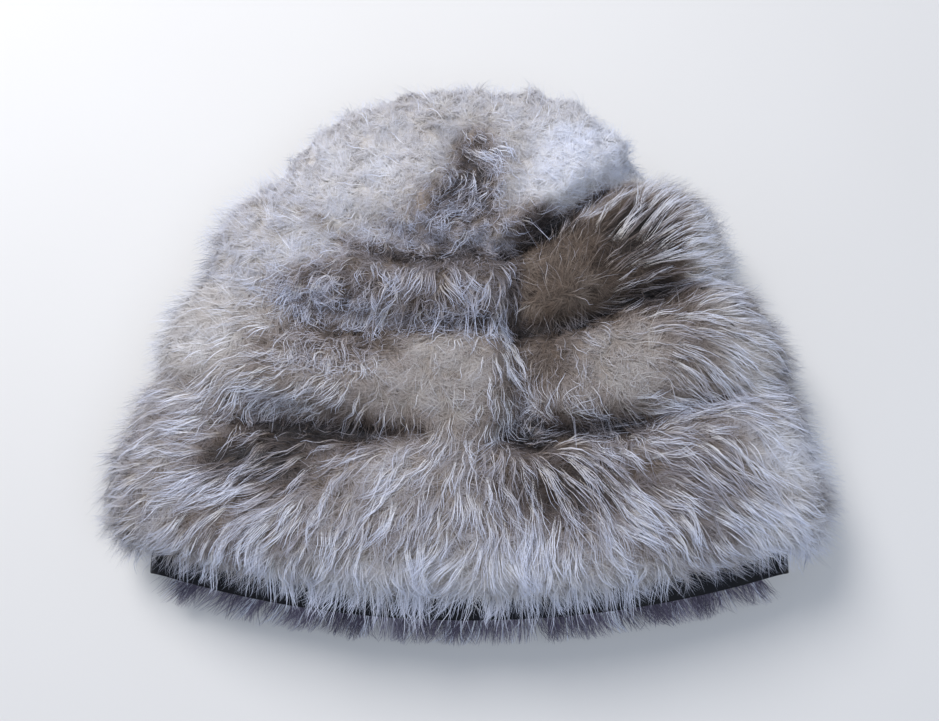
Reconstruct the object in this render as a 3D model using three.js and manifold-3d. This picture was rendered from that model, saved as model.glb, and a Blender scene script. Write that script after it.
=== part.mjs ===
// A tall shaggy sheepskin hat, lying flat on its side. Units are millimetres, +Z is up.
// X runs across the hat, Y from its mouth to its crown. The origin is on the flat underside, below the middle.
// The hat is a flattened hollow shell: four tiers of pelt, sewn one above the other, with a binding round the mouth.
import * as THREE from 'three';
import { mergeVertices } from 'three/addons/utils/BufferGeometryUtils.js';
import Module from 'manifold-3d';

const wasm = await Module();
wasm.setup();

// Driving dimensions
const HEM_HALF_WIDTH = 143; // half the width of the fold line at the mouth, for a head of about 600 mm round
const HAT_LENGTH = 237; // leather only, from the middle of the mouth to the crown
const LOWER_TIER = 82; // height of the lowest tier
const HEM_Y = -124; // the mouth's middle
const CORE_Z = 21; // height of the fold line that the hat is flattened on
const FOLD_RADIUS = 4; // inner radius of the leather at the two side folds
const UNDERSIDE_SAG = 1.5; // how far the lower wall bows down
const PELT = 2; // thickness of the leather
const GAP = 0.35; // between neighbouring pieces
const FUR_TOP = 27; // depth of the fleece above the leather, on the upper side
const FUR_SIDE = 22; // at the side folds
const FUR_UNDER = 18; // below, where the hat's weight presses it flat
const FUR_AT_SEAM = 7; // what is left of the depth in the grooves between tiers
const LEAN = 0.013; // the fleece leans towards the mouth by this times the square of its height
const BINDING_WIDTH = 12.5; // the hem binding's visible face
const BINDING_INSIDE = 11;
const BINDING_THICKNESS = 1.3;
const STATIONS = 50; // steps round the hat
const SEAM_X = 24; // where the upright seam lies on the upper side
const BACK_SEAM_X = -8; // and on the lower side
const SEAM_HALF_WIDTH = 9;
const SEAM_DIP = 0.5;

// The rings of the hat. Level 0 is the mouth, and whole levels are the seams between tiers.
// y is the ring's middle above the mouth, half its half width, sag how far its ends lie nearer the crown,
// loft how far the upper wall bows up, and under how far the lower wall bows down.
const RINGS = [
  { level: 0.0, y: 0, half: HEM_HALF_WIDTH, sag: 20, loft: 10, under: UNDERSIDE_SAG },
  { level: 0.4, y: 33, half: 142, sag: 22, loft: 12, under: UNDERSIDE_SAG },
  { level: 1.0, y: LOWER_TIER, half: 130, sag: 25, loft: 14, under: UNDERSIDE_SAG },
  { level: 1.5, y: 107, half: 119, sag: 24, loft: 15, under: UNDERSIDE_SAG },
  { level: 2.0, y: 132, half: 107, sag: 24, loft: 15, under: UNDERSIDE_SAG },
  { level: 2.5, y: 152, half: 98, sag: 28, loft: 15, under: UNDERSIDE_SAG },
  { level: 3.0, y: 171, half: 78, sag: 31, loft: 14, under: UNDERSIDE_SAG },
  { level: 3.4, y: 200, half: 53, sag: 22, loft: 11.5, under: 1.4 },
  { level: 3.75, y: 225, half: 30, sag: 8, loft: 7, under: 1 },
  { level: 4.0, y: HAT_LENGTH, half: 0, sag: 0, loft: 0, under: 0 },
];
const LAST_SEAM = 3;
const POLE = 4;
// At the crown's pole the rings close on a point, and the curves through them level off.
const POLE_SLOPES = { y: 0, half: -160, sag: 0, loft: -36, under: -5 };

// The fleece's main dents: where its depth drops, by share, round a point seen from above.
const DENTS = [
  { name: 'whorl', x: 28, y: -38, radius: 11, share: 0.45 },
  { name: 'left_crease', x: -72, y: -36, radius: 16, share: 0.3 },
  { name: 'right_crease', x: 62, y: 24, radius: 16, share: 0.35 },
  { name: 'parting_top', x: 2, y: 92, radius: 12, share: 0.35 },
  { name: 'parting_bottom', x: 8, y: 70, radius: 14, share: 0.3 },
];

// Rows of locks on each tier: w is how far up the tier the row is rooted, from 0 to 1.
const LOCK_ROWS = {
  lower: [{ w: 0.2, length: 34 }, { w: 0.5, length: 34 }, { w: 0.84, length: 30 }],
  middle: [{ w: 0.62, length: 20 }, { w: 0.93, length: 20 }],
  upper: [{ w: 0.62, length: 17 }, { w: 0.93, length: 17 }],
  crown: [{ w: 0.34, length: 20 }, { w: 0.66, length: 22 }],
};
const LOCK_PITCH = 24;
const LOCK_WIDTH = 21;
const LOCK_RISE = 3.2;

const clamp01 = (t) => Math.min(1, Math.max(0, t));
const mix = (a, b, t) => a + (b - a) * t;

// A repeatable scatter from -1 to 1.
function scatter(seed) {
  const s = Math.sin(seed * 127.1 + 311.7) * 43758.5453;
  return 2 * (s - Math.floor(s)) - 1;
}

// One column of the ring table at any level, by a smooth curve through the rows.
function column(name, level) {
  const last = RINGS.length - 1;
  let i = 0;
  while (i < last - 1 && level > RINGS[i + 1].level) i++;
  const slopeAt = (k) => {
    if (k === last) return POLE_SLOPES[name];
    const a = RINGS[Math.max(0, k - 1)];
    const b = RINGS[Math.min(last, k + 1)];
    return (b[name] - a[name]) / (b.level - a.level);
  };
  const span = RINGS[i + 1].level - RINGS[i].level;
  const t = (level - RINGS[i].level) / span;
  const [t2, t3] = [t * t, t * t * t];
  return (2 * t3 - 3 * t2 + 1) * RINGS[i][name] + (t3 - 2 * t2 + t) * span * slopeAt(i)
    + (3 * t2 - 2 * t3) * RINGS[i + 1][name] + (t3 - t2) * span * slopeAt(i + 1);
}

// The ring at a level.
function ringAt(level) {
  return {
    y: column('y', level),
    half: column('half', level),
    sag: column('sag', level),
    loft: column('loft', level),
    under: column('under', level),
  };
}

// The flattened core sheet. phi goes round the ring: 0 at the +X fold, a quarter turn at the top.
function core(level, phi) {
  const ring = ringAt(level);
  const across = Math.cos(phi);
  const up = Math.sin(phi);
  return new THREE.Vector3(
    ring.half * across,
    HEM_Y + ring.y + ring.sag * across * across,
    CORE_Z + up * (up > 0 ? ring.loft : ring.under),
  );
}

// The core's outward normal and its direction towards the crown.
function directions(level, phi) {
  const at = Math.min(level, POLE - 0.02);
  const step = 1e-3;
  const along = core(at + step, phi).sub(core(at - step, phi)).normalize();
  const round = core(at, phi + step).sub(core(at, phi - step));
  const normal = along.clone().cross(round).normalize();
  if (level > POLE - 1e-3) normal.set(0, 1, 0);
  return { normal, along };
}

// A point at a height above the leather's inner face. Above the leather it leans towards the mouth.
function place(level, phi, height) {
  const { normal, along } = directions(level, phi);
  const fur = Math.max(0, height - PELT);
  const lean = LEAN * fur * fur * clamp01((POLE - level) * 2);
  return core(level, phi).addScaledVector(normal, FOLD_RADIUS + height).addScaledVector(along, -lean);
}

// How far up its own tier a level is, from 0 at the lower seam to 1 at the upper one.
const FUR_STARTS = BINDING_WIDTH / LOWER_TIER; // the lowest tier's fleece starts above the binding
function tierShare(level) {
  if (level < 1) return clamp01((level - FUR_STARTS) / (1 - FUR_STARTS));
  return level >= LAST_SEAM ? level - LAST_SEAM : level - Math.floor(level);
}

// The fleece's depth: a roll between seams, deeper on top than underneath, less at upright seams and dents.
function furDepth(level, phi) {
  if (level < FUR_STARTS - 1e-4) return 0;
  const { normal } = directions(level, phi);
  const full = normal.z > 0 ? mix(FUR_SIDE, FUR_TOP, normal.z) : mix(FUR_SIDE, FUR_UNDER, -normal.z);
  const w = tierShare(level);
  const rise = level >= LAST_SEAM ? Math.sin((clamp01(w * 2.2) * Math.PI) / 2) : Math.sin(Math.PI * w ** 0.85);
  const wobble = 1.1 * Math.sin(5 * phi + 7 * level) + 0.9 * Math.sin(11 * phi - 4 * level);
  let depth = FUR_AT_SEAM + (full + wobble - FUR_AT_SEAM) * Math.max(0, rise) ** 0.6;
  const p = core(level, phi);
  if (level > 1 && level < LAST_SEAM) {
    const fromSeam = (p.x - (normal.z > 0 ? SEAM_X : BACK_SEAM_X)) / SEAM_HALF_WIDTH;
    depth *= 1 - SEAM_DIP * Math.exp(-fromSeam * fromSeam);
  }
  if (normal.z > 0) {
    for (const dent of DENTS) {
      const away = Math.hypot(p.x - dent.x, p.y - dent.y) / dent.radius;
      depth *= 1 - dent.share * Math.exp(-away * away);
    }
  }
  return depth;
}

// Steps round the ring, even in length along the fleece's middle.
function roundStations() {
  const fine = 1440;
  const level = 1.5;
  const reach = (k) => place(level, -Math.PI / 2 + (2 * Math.PI * k) / fine, PELT + FUR_SIDE * 0.6);
  const lengths = [0];
  for (let k = 1; k <= fine; k++) lengths.push(lengths[k - 1] + reach(k).distanceTo(reach(k - 1)));
  const stations = [];
  let k = 0;
  for (let i = 0; i <= STATIONS; i++) {
    const wanted = (lengths[fine] * i) / STATIONS;
    while (k < fine && lengths[k + 1] < wanted) k++;
    const part = k < fine ? (wanted - lengths[k]) / (lengths[k + 1] - lengths[k]) : 0;
    stations.push(-Math.PI / 2 + (2 * Math.PI * (k + part)) / fine);
  }
  return stations;
}
const STATION_ANGLES = roundStations();

// A closed mesh's triangles as a solid.
function solidFrom(points, faces) {
  const geometry = new THREE.BufferGeometry();
  geometry.setAttribute('position', new THREE.Float32BufferAttribute(points.flatMap((p) => [p.x, p.y, p.z]), 3));
  geometry.setIndex(faces.flat());
  const merged = mergeVertices(geometry, 1e-4);
  const solid = new wasm.Manifold(new wasm.Mesh({
    numProp: 3,
    vertProperties: merged.attributes.position.array,
    triVerts: new Uint32Array(merged.index.array),
  }));
  return solid.volume() > 0 ? solid : solidFrom(points, faces.map(([a, b, c]) => [a, c, b]));
}

// A wall between an inner and an outer surface over a grid of levels and angles.
// A ring closes on itself, a panel has two upright ends, and a cap closes at the crown's pole.
function wall(levels, angles, inner, outer, { closed, capped }) {
  const columns = closed ? angles.length - 1 : angles.length;
  const points = [];
  const faces = [];
  const index = [];
  for (const surface of [inner, outer]) {
    const rows = levels.map((level) => {
      const row = [];
      for (let i = 0; i < columns; i++) {
        row.push(points.length);
        points.push(surface(level, angles[i]));
      }
      return row;
    });
    index.push(rows);
  }
  const [inside, outside] = index;
  const next = (i) => (closed ? (i + 1) % columns : i + 1);
  const quad = (a, b, c, d) => faces.push([a, b, c], [a, c, d]);
  const last = levels.length - 1;
  for (let i = 0; i < (closed ? columns : columns - 1); i++) {
    for (let j = 0; j < last; j++) {
      quad(outside[j][i], outside[j][next(i)], outside[j + 1][next(i)], outside[j + 1][i]);
      quad(inside[j][i], inside[j + 1][i], inside[j + 1][next(i)], inside[j][next(i)]);
    }
    quad(inside[0][i], inside[0][next(i)], outside[0][next(i)], outside[0][i]);
    if (!capped) quad(inside[last][i], outside[last][i], outside[last][next(i)], inside[last][next(i)]);
  }
  if (capped) {
    const poles = [inner, outer].map((surface) => points.push(surface(POLE, Math.PI / 2)) - 1);
    for (let i = 0; i < columns; i++) {
      faces.push([outside[last][i], outside[last][next(i)], poles[1]]);
      faces.push([inside[last][next(i)], inside[last][i], poles[0]]);
    }
  }
  if (!closed) {
    for (const [i, flip] of [[0, false], [columns - 1, true]]) {
      for (let j = 0; j < last; j++) {
        const ends = [inside[j][i], outside[j][i], outside[j + 1][i], inside[j + 1][i]];
        quad(...(flip ? ends.reverse() : ends));
      }
    }
  }
  return solidFrom(points, faces);
}

// The angle that lies a distance further round a ring, measured on the fleece.
function angleAfter(level, phi, distance) {
  const steps = 8;
  const height = PELT + 15;
  const small = 5e-4;
  let angle = phi;
  for (let k = 0; k < steps; k++) {
    const stride = place(level, angle + small, height).distanceTo(place(level, angle - small, height));
    angle += (distance / steps) * ((2 * small) / stride);
  }
  return angle;
}

// One lock of fleece: a root inside the fleece, two raised three-cornered waists and a tip.
function lock(level, phi, length, width, low, rise, seed) {
  const levelSpan = core(level + 0.01, phi).distanceTo(core(level - 0.01, phi)) / 0.02;
  const bend = scatter(seed) * 0.35 * width;
  const at = (along, side, lift) => {
    const here = Math.max(low, level - (along * length) / levelSpan);
    const angle = angleAfter(level, phi, side * width * 0.5 + bend * along * along);
    const overBinding = mix(12, 5, Math.abs(directions(here, angle).normal.z));
    const ground = Math.max(furDepth(here, angle), here < FUR_STARTS ? overBinding : 0);
    return place(here, angle, PELT + ground + lift);
  };
  const points = [at(0, 0, -3)];
  for (const [along, spread, lift] of [[0.34, 1, rise], [0.7, 0.75, rise * 1.15]]) {
    points.push(at(along, -spread, -2), at(along, spread, -2), at(along, 0, lift));
  }
  points.push(at(1, 0, rise * 0.6));
  const faces = [];
  for (const [a, b] of [[1, 2], [2, 3], [3, 1]]) {
    faces.push([0, b, a], [a, b, b + 3], [a, b + 3, a + 3], [a + 3, b + 3, 7]);
  }
  return solidFrom(points, faces);
}

// The locks of one piece, in staggered rows between two angles, above its lower seam.
function locks(rows, base, from, to, low, seed) {
  const found = [];
  rows.forEach(({ w, length }, row) => {
    const level = base === 0 ? FUR_STARTS + (1 - FUR_STARTS) * w : base + w;
    const half = LOCK_WIDTH * 0.62;
    let angle = angleAfter(level, from, half + (row % 2) * LOCK_PITCH * 0.5);
    for (; angleAfter(level, angle, half) < to; angle = angleAfter(level, angle, LOCK_PITCH)) {
      const { normal } = directions(level, angle);
      const peeksOut = base === 0 && row === 0;
      if (normal.z < -0.35 && !peeksOut) continue;
      const number = seed + found.length;
      const size = 1 + 0.14 * scatter(number * 3.7);
      const reach = peeksOut && Math.abs(normal.z) < 0.75 ? 0.6 : 1; // shorter round the folds
      const rise = normal.z < -0.35 ? -2 : LOCK_RISE * (1 + 0.3 * scatter(number * 1.9));
      found.push(lock(level, angle, length * size * reach, LOCK_WIDTH * size, low, rise, number));
    }
  });
  return found;
}

const FLOOR = new THREE.BoxGeometry(600, 600, 100).translate(0, 0, -50);
FLOOR.deleteAttribute('normal');
FLOOR.deleteAttribute('uv');
const floorCorners = mergeVertices(FLOOR);
const floorSolid = new wasm.Manifold(new wasm.Mesh({
  numProp: 3,
  vertProperties: floorCorners.attributes.position.array,
  triVerts: new Uint32Array(floorCorners.index.array),
}));

// A mesh of a solid, with its underside pressed flat on the surface that it lies on.
// Its largest body is kept, which fills the small hollows that crossing locks enclose.
function pelt(name, solid, color) {
  const bodies = wasm.Manifold.difference(solid, floorSolid).decompose();
  const flat = bodies.reduce((a, b) => (b.volume() > a.volume() ? b : a));
  const { vertProperties, triVerts } = flat.getMesh();
  const geometry = new THREE.BufferGeometry();
  geometry.setAttribute('position', new THREE.Float32BufferAttribute(vertProperties, 3));
  geometry.setIndex(new THREE.Uint32BufferAttribute(triVerts, 1));
  const mesh = new THREE.Mesh(geometry, new THREE.MeshStandardMaterial({ color, roughness: 0.9, metalness: 0 }));
  mesh.name = name;
  return mesh;
}

// A strip of pelt with its fleece: leather inside, a roll of fur outside, and locks fused to it.
function peltStrip(name, color, { levels, angles, closed, capped, rows, base, seed }) {
  const inner = (level, phi) => place(level, phi, 0);
  const outer = (level, phi) => place(level, phi, PELT + furDepth(level, phi));
  const body = wall(levels, angles, inner, outer, { closed, capped });
  const from = angles[0];
  const to = angles[angles.length - 1];
  const low = base === 0 ? -0.07 : levels[0] + 0.01;
  const fleece = wasm.Manifold.union([body, ...locks(rows, base, from, to, low, seed)]);
  return pelt(name, fleece, color);
}

// The levels of a tier, with a gap left at its seams.
function tierLevels(base, shares) {
  const start = ringAt(base).y;
  const span = ringAt(Math.min(base + 1, POLE)).y - start;
  const margin = GAP / span;
  return shares.map((w) => base + (w === 0 ? margin : w === 1 ? 1 - margin : w));
}

// The angle on the upper side at which a ring's core passes a place across the hat.
const seamAngle = Math.acos(SEAM_X / ringAt(2).half);
const seamMargin = (GAP * 1.2) / ringAt(2).half;
const backSeam = -Math.acos(BACK_SEAM_X / ringAt(2).half);

// The steps between two seams, with a gap left at both.
function anglesBetween(from, to) {
  const inside = STATION_ANGLES.flatMap((a) => [a, a + 2 * Math.PI])
    .filter((a) => a > from + 0.02 && a < to - 0.02);
  return [from + seamMargin, ...inside.sort((a, b) => a - b), to - seamMargin];
}

const TIER_SHARES = [0, 0.16, 0.42, 0.7, 0.9, 1];
const halves = {
  right: anglesBetween(backSeam, seamAngle),
  left: anglesBetween(seamAngle, backSeam + 2 * Math.PI),
};

const COLOURS = {
  crown: 0xcfc9bd,
  leftPale: 0xa89c8c,
  rightDark: 0x6f6254,
  middle: 0xb3a48d,
  lower: 0xa79d92,
  binding: 0x1b1a1f,
};

const hat = new THREE.Group();

const lowerFur = [0.16, 0.2, 0.36, 0.56, 0.76, 0.9];
hat.add(peltStrip('lower_band', COLOURS.lower, {
  levels: [GAP / LOWER_TIER, FUR_STARTS - 0.002, ...lowerFur, 1 - GAP / LOWER_TIER],
  angles: STATION_ANGLES,
  closed: true,
  capped: false,
  rows: LOCK_ROWS.lower,
  base: 0,
  seed: 11,
}));

for (const [side, angles] of Object.entries(halves)) {
  const dark = side === 'right';
  hat.add(peltStrip(`middle_band_${side}`, COLOURS.middle, {
    levels: tierLevels(1, TIER_SHARES),
    angles,
    closed: false,
    capped: false,
    rows: LOCK_ROWS.middle,
    base: 1,
    seed: dark ? 201 : 301,
  }));
  hat.add(peltStrip(`upper_band_${side}`, dark ? COLOURS.rightDark : COLOURS.leftPale, {
    levels: tierLevels(2, TIER_SHARES),
    angles,
    closed: false,
    capped: false,
    rows: LOCK_ROWS.upper,
    base: 2,
    seed: dark ? 401 : 501,
  }));
}

hat.add(peltStrip('crown_cap', COLOURS.crown, {
  levels: tierLevels(LAST_SEAM, [0, 0.14, 0.34, 0.55, 0.75, 0.9]),
  angles: STATION_ANGLES,
  closed: true,
  capped: true,
  rows: LOCK_ROWS.crown,
  base: LAST_SEAM,
  seed: 601,
}));

// The binding's U-shaped section, folded round the leather's edge: level along the hat, height off the leather.
function binding() {
  const perMillimetre = 1 / LOWER_TIER;
  const under = -(GAP + BINDING_THICKNESS) * perMillimetre;
  const web = -GAP * perMillimetre * 0.2;
  const outerEnd = (BINDING_WIDTH - GAP * 2) * perMillimetre;
  const innerEnd = BINDING_INSIDE * perMillimetre;
  const section = [
    [under, -GAP - BINDING_THICKNESS],
    [innerEnd, -GAP - BINDING_THICKNESS],
    [innerEnd, -GAP],
    [web, -GAP],
    [web, PELT + GAP],
    [outerEnd, PELT + GAP],
    [outerEnd, PELT + GAP + BINDING_THICKNESS],
    [under, PELT + GAP + BINDING_THICKNESS],
  ];
  const points = [];
  const faces = [];
  const turns = STATION_ANGLES.length - 1;
  for (let i = 0; i < turns; i++) {
    for (const [level, height] of section) points.push(place(level, STATION_ANGLES[i], height));
  }
  for (let i = 0; i < turns; i++) {
    for (let k = 0; k < section.length; k++) {
      const [a, b] = [i * section.length, ((i + 1) % turns) * section.length];
      const after = (k + 1) % section.length;
      faces.push([a + k, b + k, b + after], [a + k, b + after, a + after]);
    }
  }
  return solidFrom(points, faces);
}
hat.add(pelt('hem_binding', binding(), COLOURS.binding));

// Everything moves together until the origin is under the middle of the whole hat.
const middle = new THREE.Box3().setFromObject(hat).getCenter(new THREE.Vector3());
for (const mesh of hat.children) mesh.geometry.translate(-middle.x, -middle.y, 0);

export default hat;
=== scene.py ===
import math
from functools import partial

import bmesh
import bpy
import numpy as np
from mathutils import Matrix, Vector, noise


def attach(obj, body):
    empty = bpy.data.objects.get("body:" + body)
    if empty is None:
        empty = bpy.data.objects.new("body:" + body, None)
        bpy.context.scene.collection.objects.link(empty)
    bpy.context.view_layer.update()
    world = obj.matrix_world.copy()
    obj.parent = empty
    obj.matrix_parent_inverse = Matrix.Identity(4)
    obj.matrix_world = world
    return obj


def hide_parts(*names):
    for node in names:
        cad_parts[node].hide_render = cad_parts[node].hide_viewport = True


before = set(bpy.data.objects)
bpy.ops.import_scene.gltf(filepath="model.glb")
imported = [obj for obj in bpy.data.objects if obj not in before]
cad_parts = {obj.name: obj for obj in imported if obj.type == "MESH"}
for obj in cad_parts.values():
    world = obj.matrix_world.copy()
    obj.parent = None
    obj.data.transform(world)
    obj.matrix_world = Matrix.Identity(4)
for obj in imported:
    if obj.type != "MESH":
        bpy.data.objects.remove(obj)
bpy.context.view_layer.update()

# A tall shaggy sheepskin hat that lies flat on its side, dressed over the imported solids.
# The surface formulas below work in millimetres and repeat those of the part's source.

MM = 0.001
HEM_Y = -124.0
CORE_Z = 21.0
FOLD_RADIUS = 4.0
PELT = 2.0
GAP = 0.35
FUR_TOP = 27.0
FUR_SIDE = 22.0
FUR_UNDER = 18.0
FUR_AT_SEAM = 7.0
LEAN = 0.013
LOWER_TIER = 82.0
BINDING_WIDTH = 12.5
BINDING_INSIDE = 11.0
BINDING_THICKNESS = 1.3
SEAM_X = 24.0
BACK_SEAM_X = -8.0
SEAM_HALF_WIDTH = 9.0
SEAM_DIP = 0.5
POLE = 4.0
LAST_SEAM = 3.0
FUR_STARTS = BINDING_WIDTH / LOWER_TIER
SHIFT = np.array([0.69, -4.86, 0.0])  # from the formulas' own origin to the part's
MATTED_SHARE = 0.86  # of the fleece's depth is matted, and the rest is loose
UNDER_STREAKS = 0.3  # how much darker the wool is under its pale streaks
GROUND_COLUMNS = 340
STATION_COUNT = 230
TAPE_COLUMNS = 260
STITCH_COLUMNS = 400
LONGEST_LOCK = 27.0
LOWEST_HAIR = 0.0004  # above the floor, in metres
LOWEST_GROUND = 0.0006
CROWN_LUMPS = (1.2, 2.8)  # large lumps of the ground everywhere, and more on the crown
SMALL_LUMPS = (0.3, 0.7, 2.4)  # small ones everywhere, more on the crown, and more among curls
FLEECE_FROM = 0.12  # level at which the loose fleece starts
SEAM_OVERLAP = 0.03  # how far the fleece of a tier goes on past its seams, in levels
BINDING_SHOWS_FROM = 62  # distance from the middle at which locks get shorter at the hem
BINDING_SHOWS_OVER = 30
FRINGE_HALF_WIDTH = 132
# Painted shade: the tone of the fringe under the hem, by the floor, a dark mauve grey.
FRINGE_SHADE_TONE = 0.97
PELT_MARGIN = 0.05  # between neighbouring pelts in the scene
UPPER_SIDE = 24.0  # height from which a place counts as the upper side

# Rings of the hat: level, y, half width, sag of the ends, loft of the upper wall, drop of the lower wall.
RINGS = np.array([
    [0.0, 0, 143, 20, 10, 1.5],
    [0.4, 33, 142, 22, 12, 1.5],
    [1.0, 82, 130, 25, 14, 1.5],
    [1.5, 107, 119, 24, 15, 1.5],
    [2.0, 132, 107, 24, 15, 1.5],
    [2.5, 152, 98, 28, 15, 1.5],
    [3.0, 171, 78, 31, 14, 1.5],
    [3.4, 200, 53, 22, 11.5, 1.4],
    [3.75, 225, 30, 8, 7, 1.0],
    [4.0, 237, 0, 0, 0, 0],
])
POLE_SLOPES = np.array([0.0, -160.0, 0.0, -36.0, -5.0])

# Dents in the fleece: x, y, radius, share of the depth that goes.
DENTS = [
    (28, -38, 11, 0.45),
    (-72, -36, 16, 0.3),
    (62, 24, 16, 0.35),
    (2, 92, 12, 0.35),
    (8, 70, 14, 0.3),
]

# How the fleece is combed over the upper side: x, y and the direction in degrees,
# 0 to the right, 90 to the crown and -90 to the mouth.
COMBING = np.array([
    # crown
    (-81, 66, 170), (-72, 84, 140), (-58, 102, 125), (-34, 114, 108), (-9, 120, 95), (16, 121, 85),
    (46, 117, 70), (67, 102, 45), (82, 86, 15), (69, 73, -15), (52, 92, 10), (35, 76, -20),
    (44, 58, -50), (27, 53, -70), (15, 45, -85), (-6, 45, -95), (-28, 46, -105), (-45, 53, -120),
    (-66, 53, -150), (-57, 76, -170), (-38, 86, 170), (-23, 71, -150), (-14, 92, -140), (1, 97, -70),
    (6, 81, -100), (-1, 66, -100), (18, 102, -20), (20, 84, -70), (-14, 58, -110),
    # upper left
    (-100, 76, 120), (-110, 60, 165), (-116, 43, -170), (-120, 28, -160), (-95, 50, -160),
    (-81, 53, -140), (-66, 40, -130), (-89, 32, -150), (-75, 23, -150), (-56, 15, -130),
    (-42, 28, -110), (-28, 35, -90), (-23, 15, -85), (-9, 25, -80), (6, 23, -85), (18, 30, -90),
    (13, 5, -140), (-13, 6, -100), (-41, 4, -140), (-98, 18, -170),
    # upper right
    (27, 48, 75), (39, 53, 60), (54, 66, 50), (74, 71, 45), (44, 35, 80), (58, 23, 60), (36, 20, 100),
    (63, 48, 42), (75, 53, 38), (84, 40, 33), (92, 58, 38), (93, 28, 25), (106, 50, 32), (110, 32, 18),
    (119, 53, 28), (123, 40, 15), (72, 20, 30), (81, 13, 0), (105, 15, 5), (119, 20, 5), (34, 3, -100),
    (52, 6, -80),
    # middle left
    (-119, 10, -165), (-134, -7, -160), (-107, 5, -155), (-115, -11, -155), (-142, -26, -155),
    (-123, -33, -157), (-105, -30, -150), (-92, -19, -145), (-81, -37, -145), (-63, -33, -130),
    (-49, -37, -110), (-69, -9, -140), (-46, -7, -120), (-41, -26, -100), (-27, -9, -100),
    (-17, -33, -90), (-4, -19, -95), (5, -37, -100), (-58, -48, -140), (-31, -47, -100),
    # middle right
    (19, -14, -105), (15, -33, -110), (29, -7, -90), (38, -28, -60), (28, -44, -160), (42, -44, 20),
    (56, -35, -60), (65, -47, -75), (52, -9, -80), (66, -19, -70), (84, -21, -45), (80, -2, -30),
    (103, -4, -25), (107, -21, -30), (93, -36, 10), (79, -40, 10), (122, -4, -12), (130, -19, -20),
    (116, -33, 0), (138, -9, -10),
    # lower
    (-158, -51, -160), (-158, -74, -155), (-152, -96, -145), (-140, -51, -155), (-133, -78, -140),
    (-117, -56, -145), (-99, -51, -145), (-107, -74, -135), (-119, -94, -130), (-85, -67, -128),
    (-67, -56, -135), (-62, -74, -120), (-79, -91, -122), (-44, -65, -125), (-39, -87, -110),
    (-26, -56, -125), (-13, -69, -105), (-17, -96, -102), (5, -65, -98), (10, -87, -92), (23, -69, -88),
    (32, -91, -80), (42, -65, -75), (55, -78, -62), (60, -58, -60), (77, -69, -52), (76, -91, -55),
    (100, -60, -48), (104, -83, -45), (124, -51, -45), (127, -74, -42), (147, -47, -35),
    (140, -69, -35), (160, -56, -15), (155, -83, -25), (138, -96, -42), (-30, -117, -104),
    (5, -119, -90), (40, -117, -80), (76, -113, -62), (111, -104, -52), (-65, -111, -114),
    (-101, -104, -124), (-123, -100, -132),
])

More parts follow.
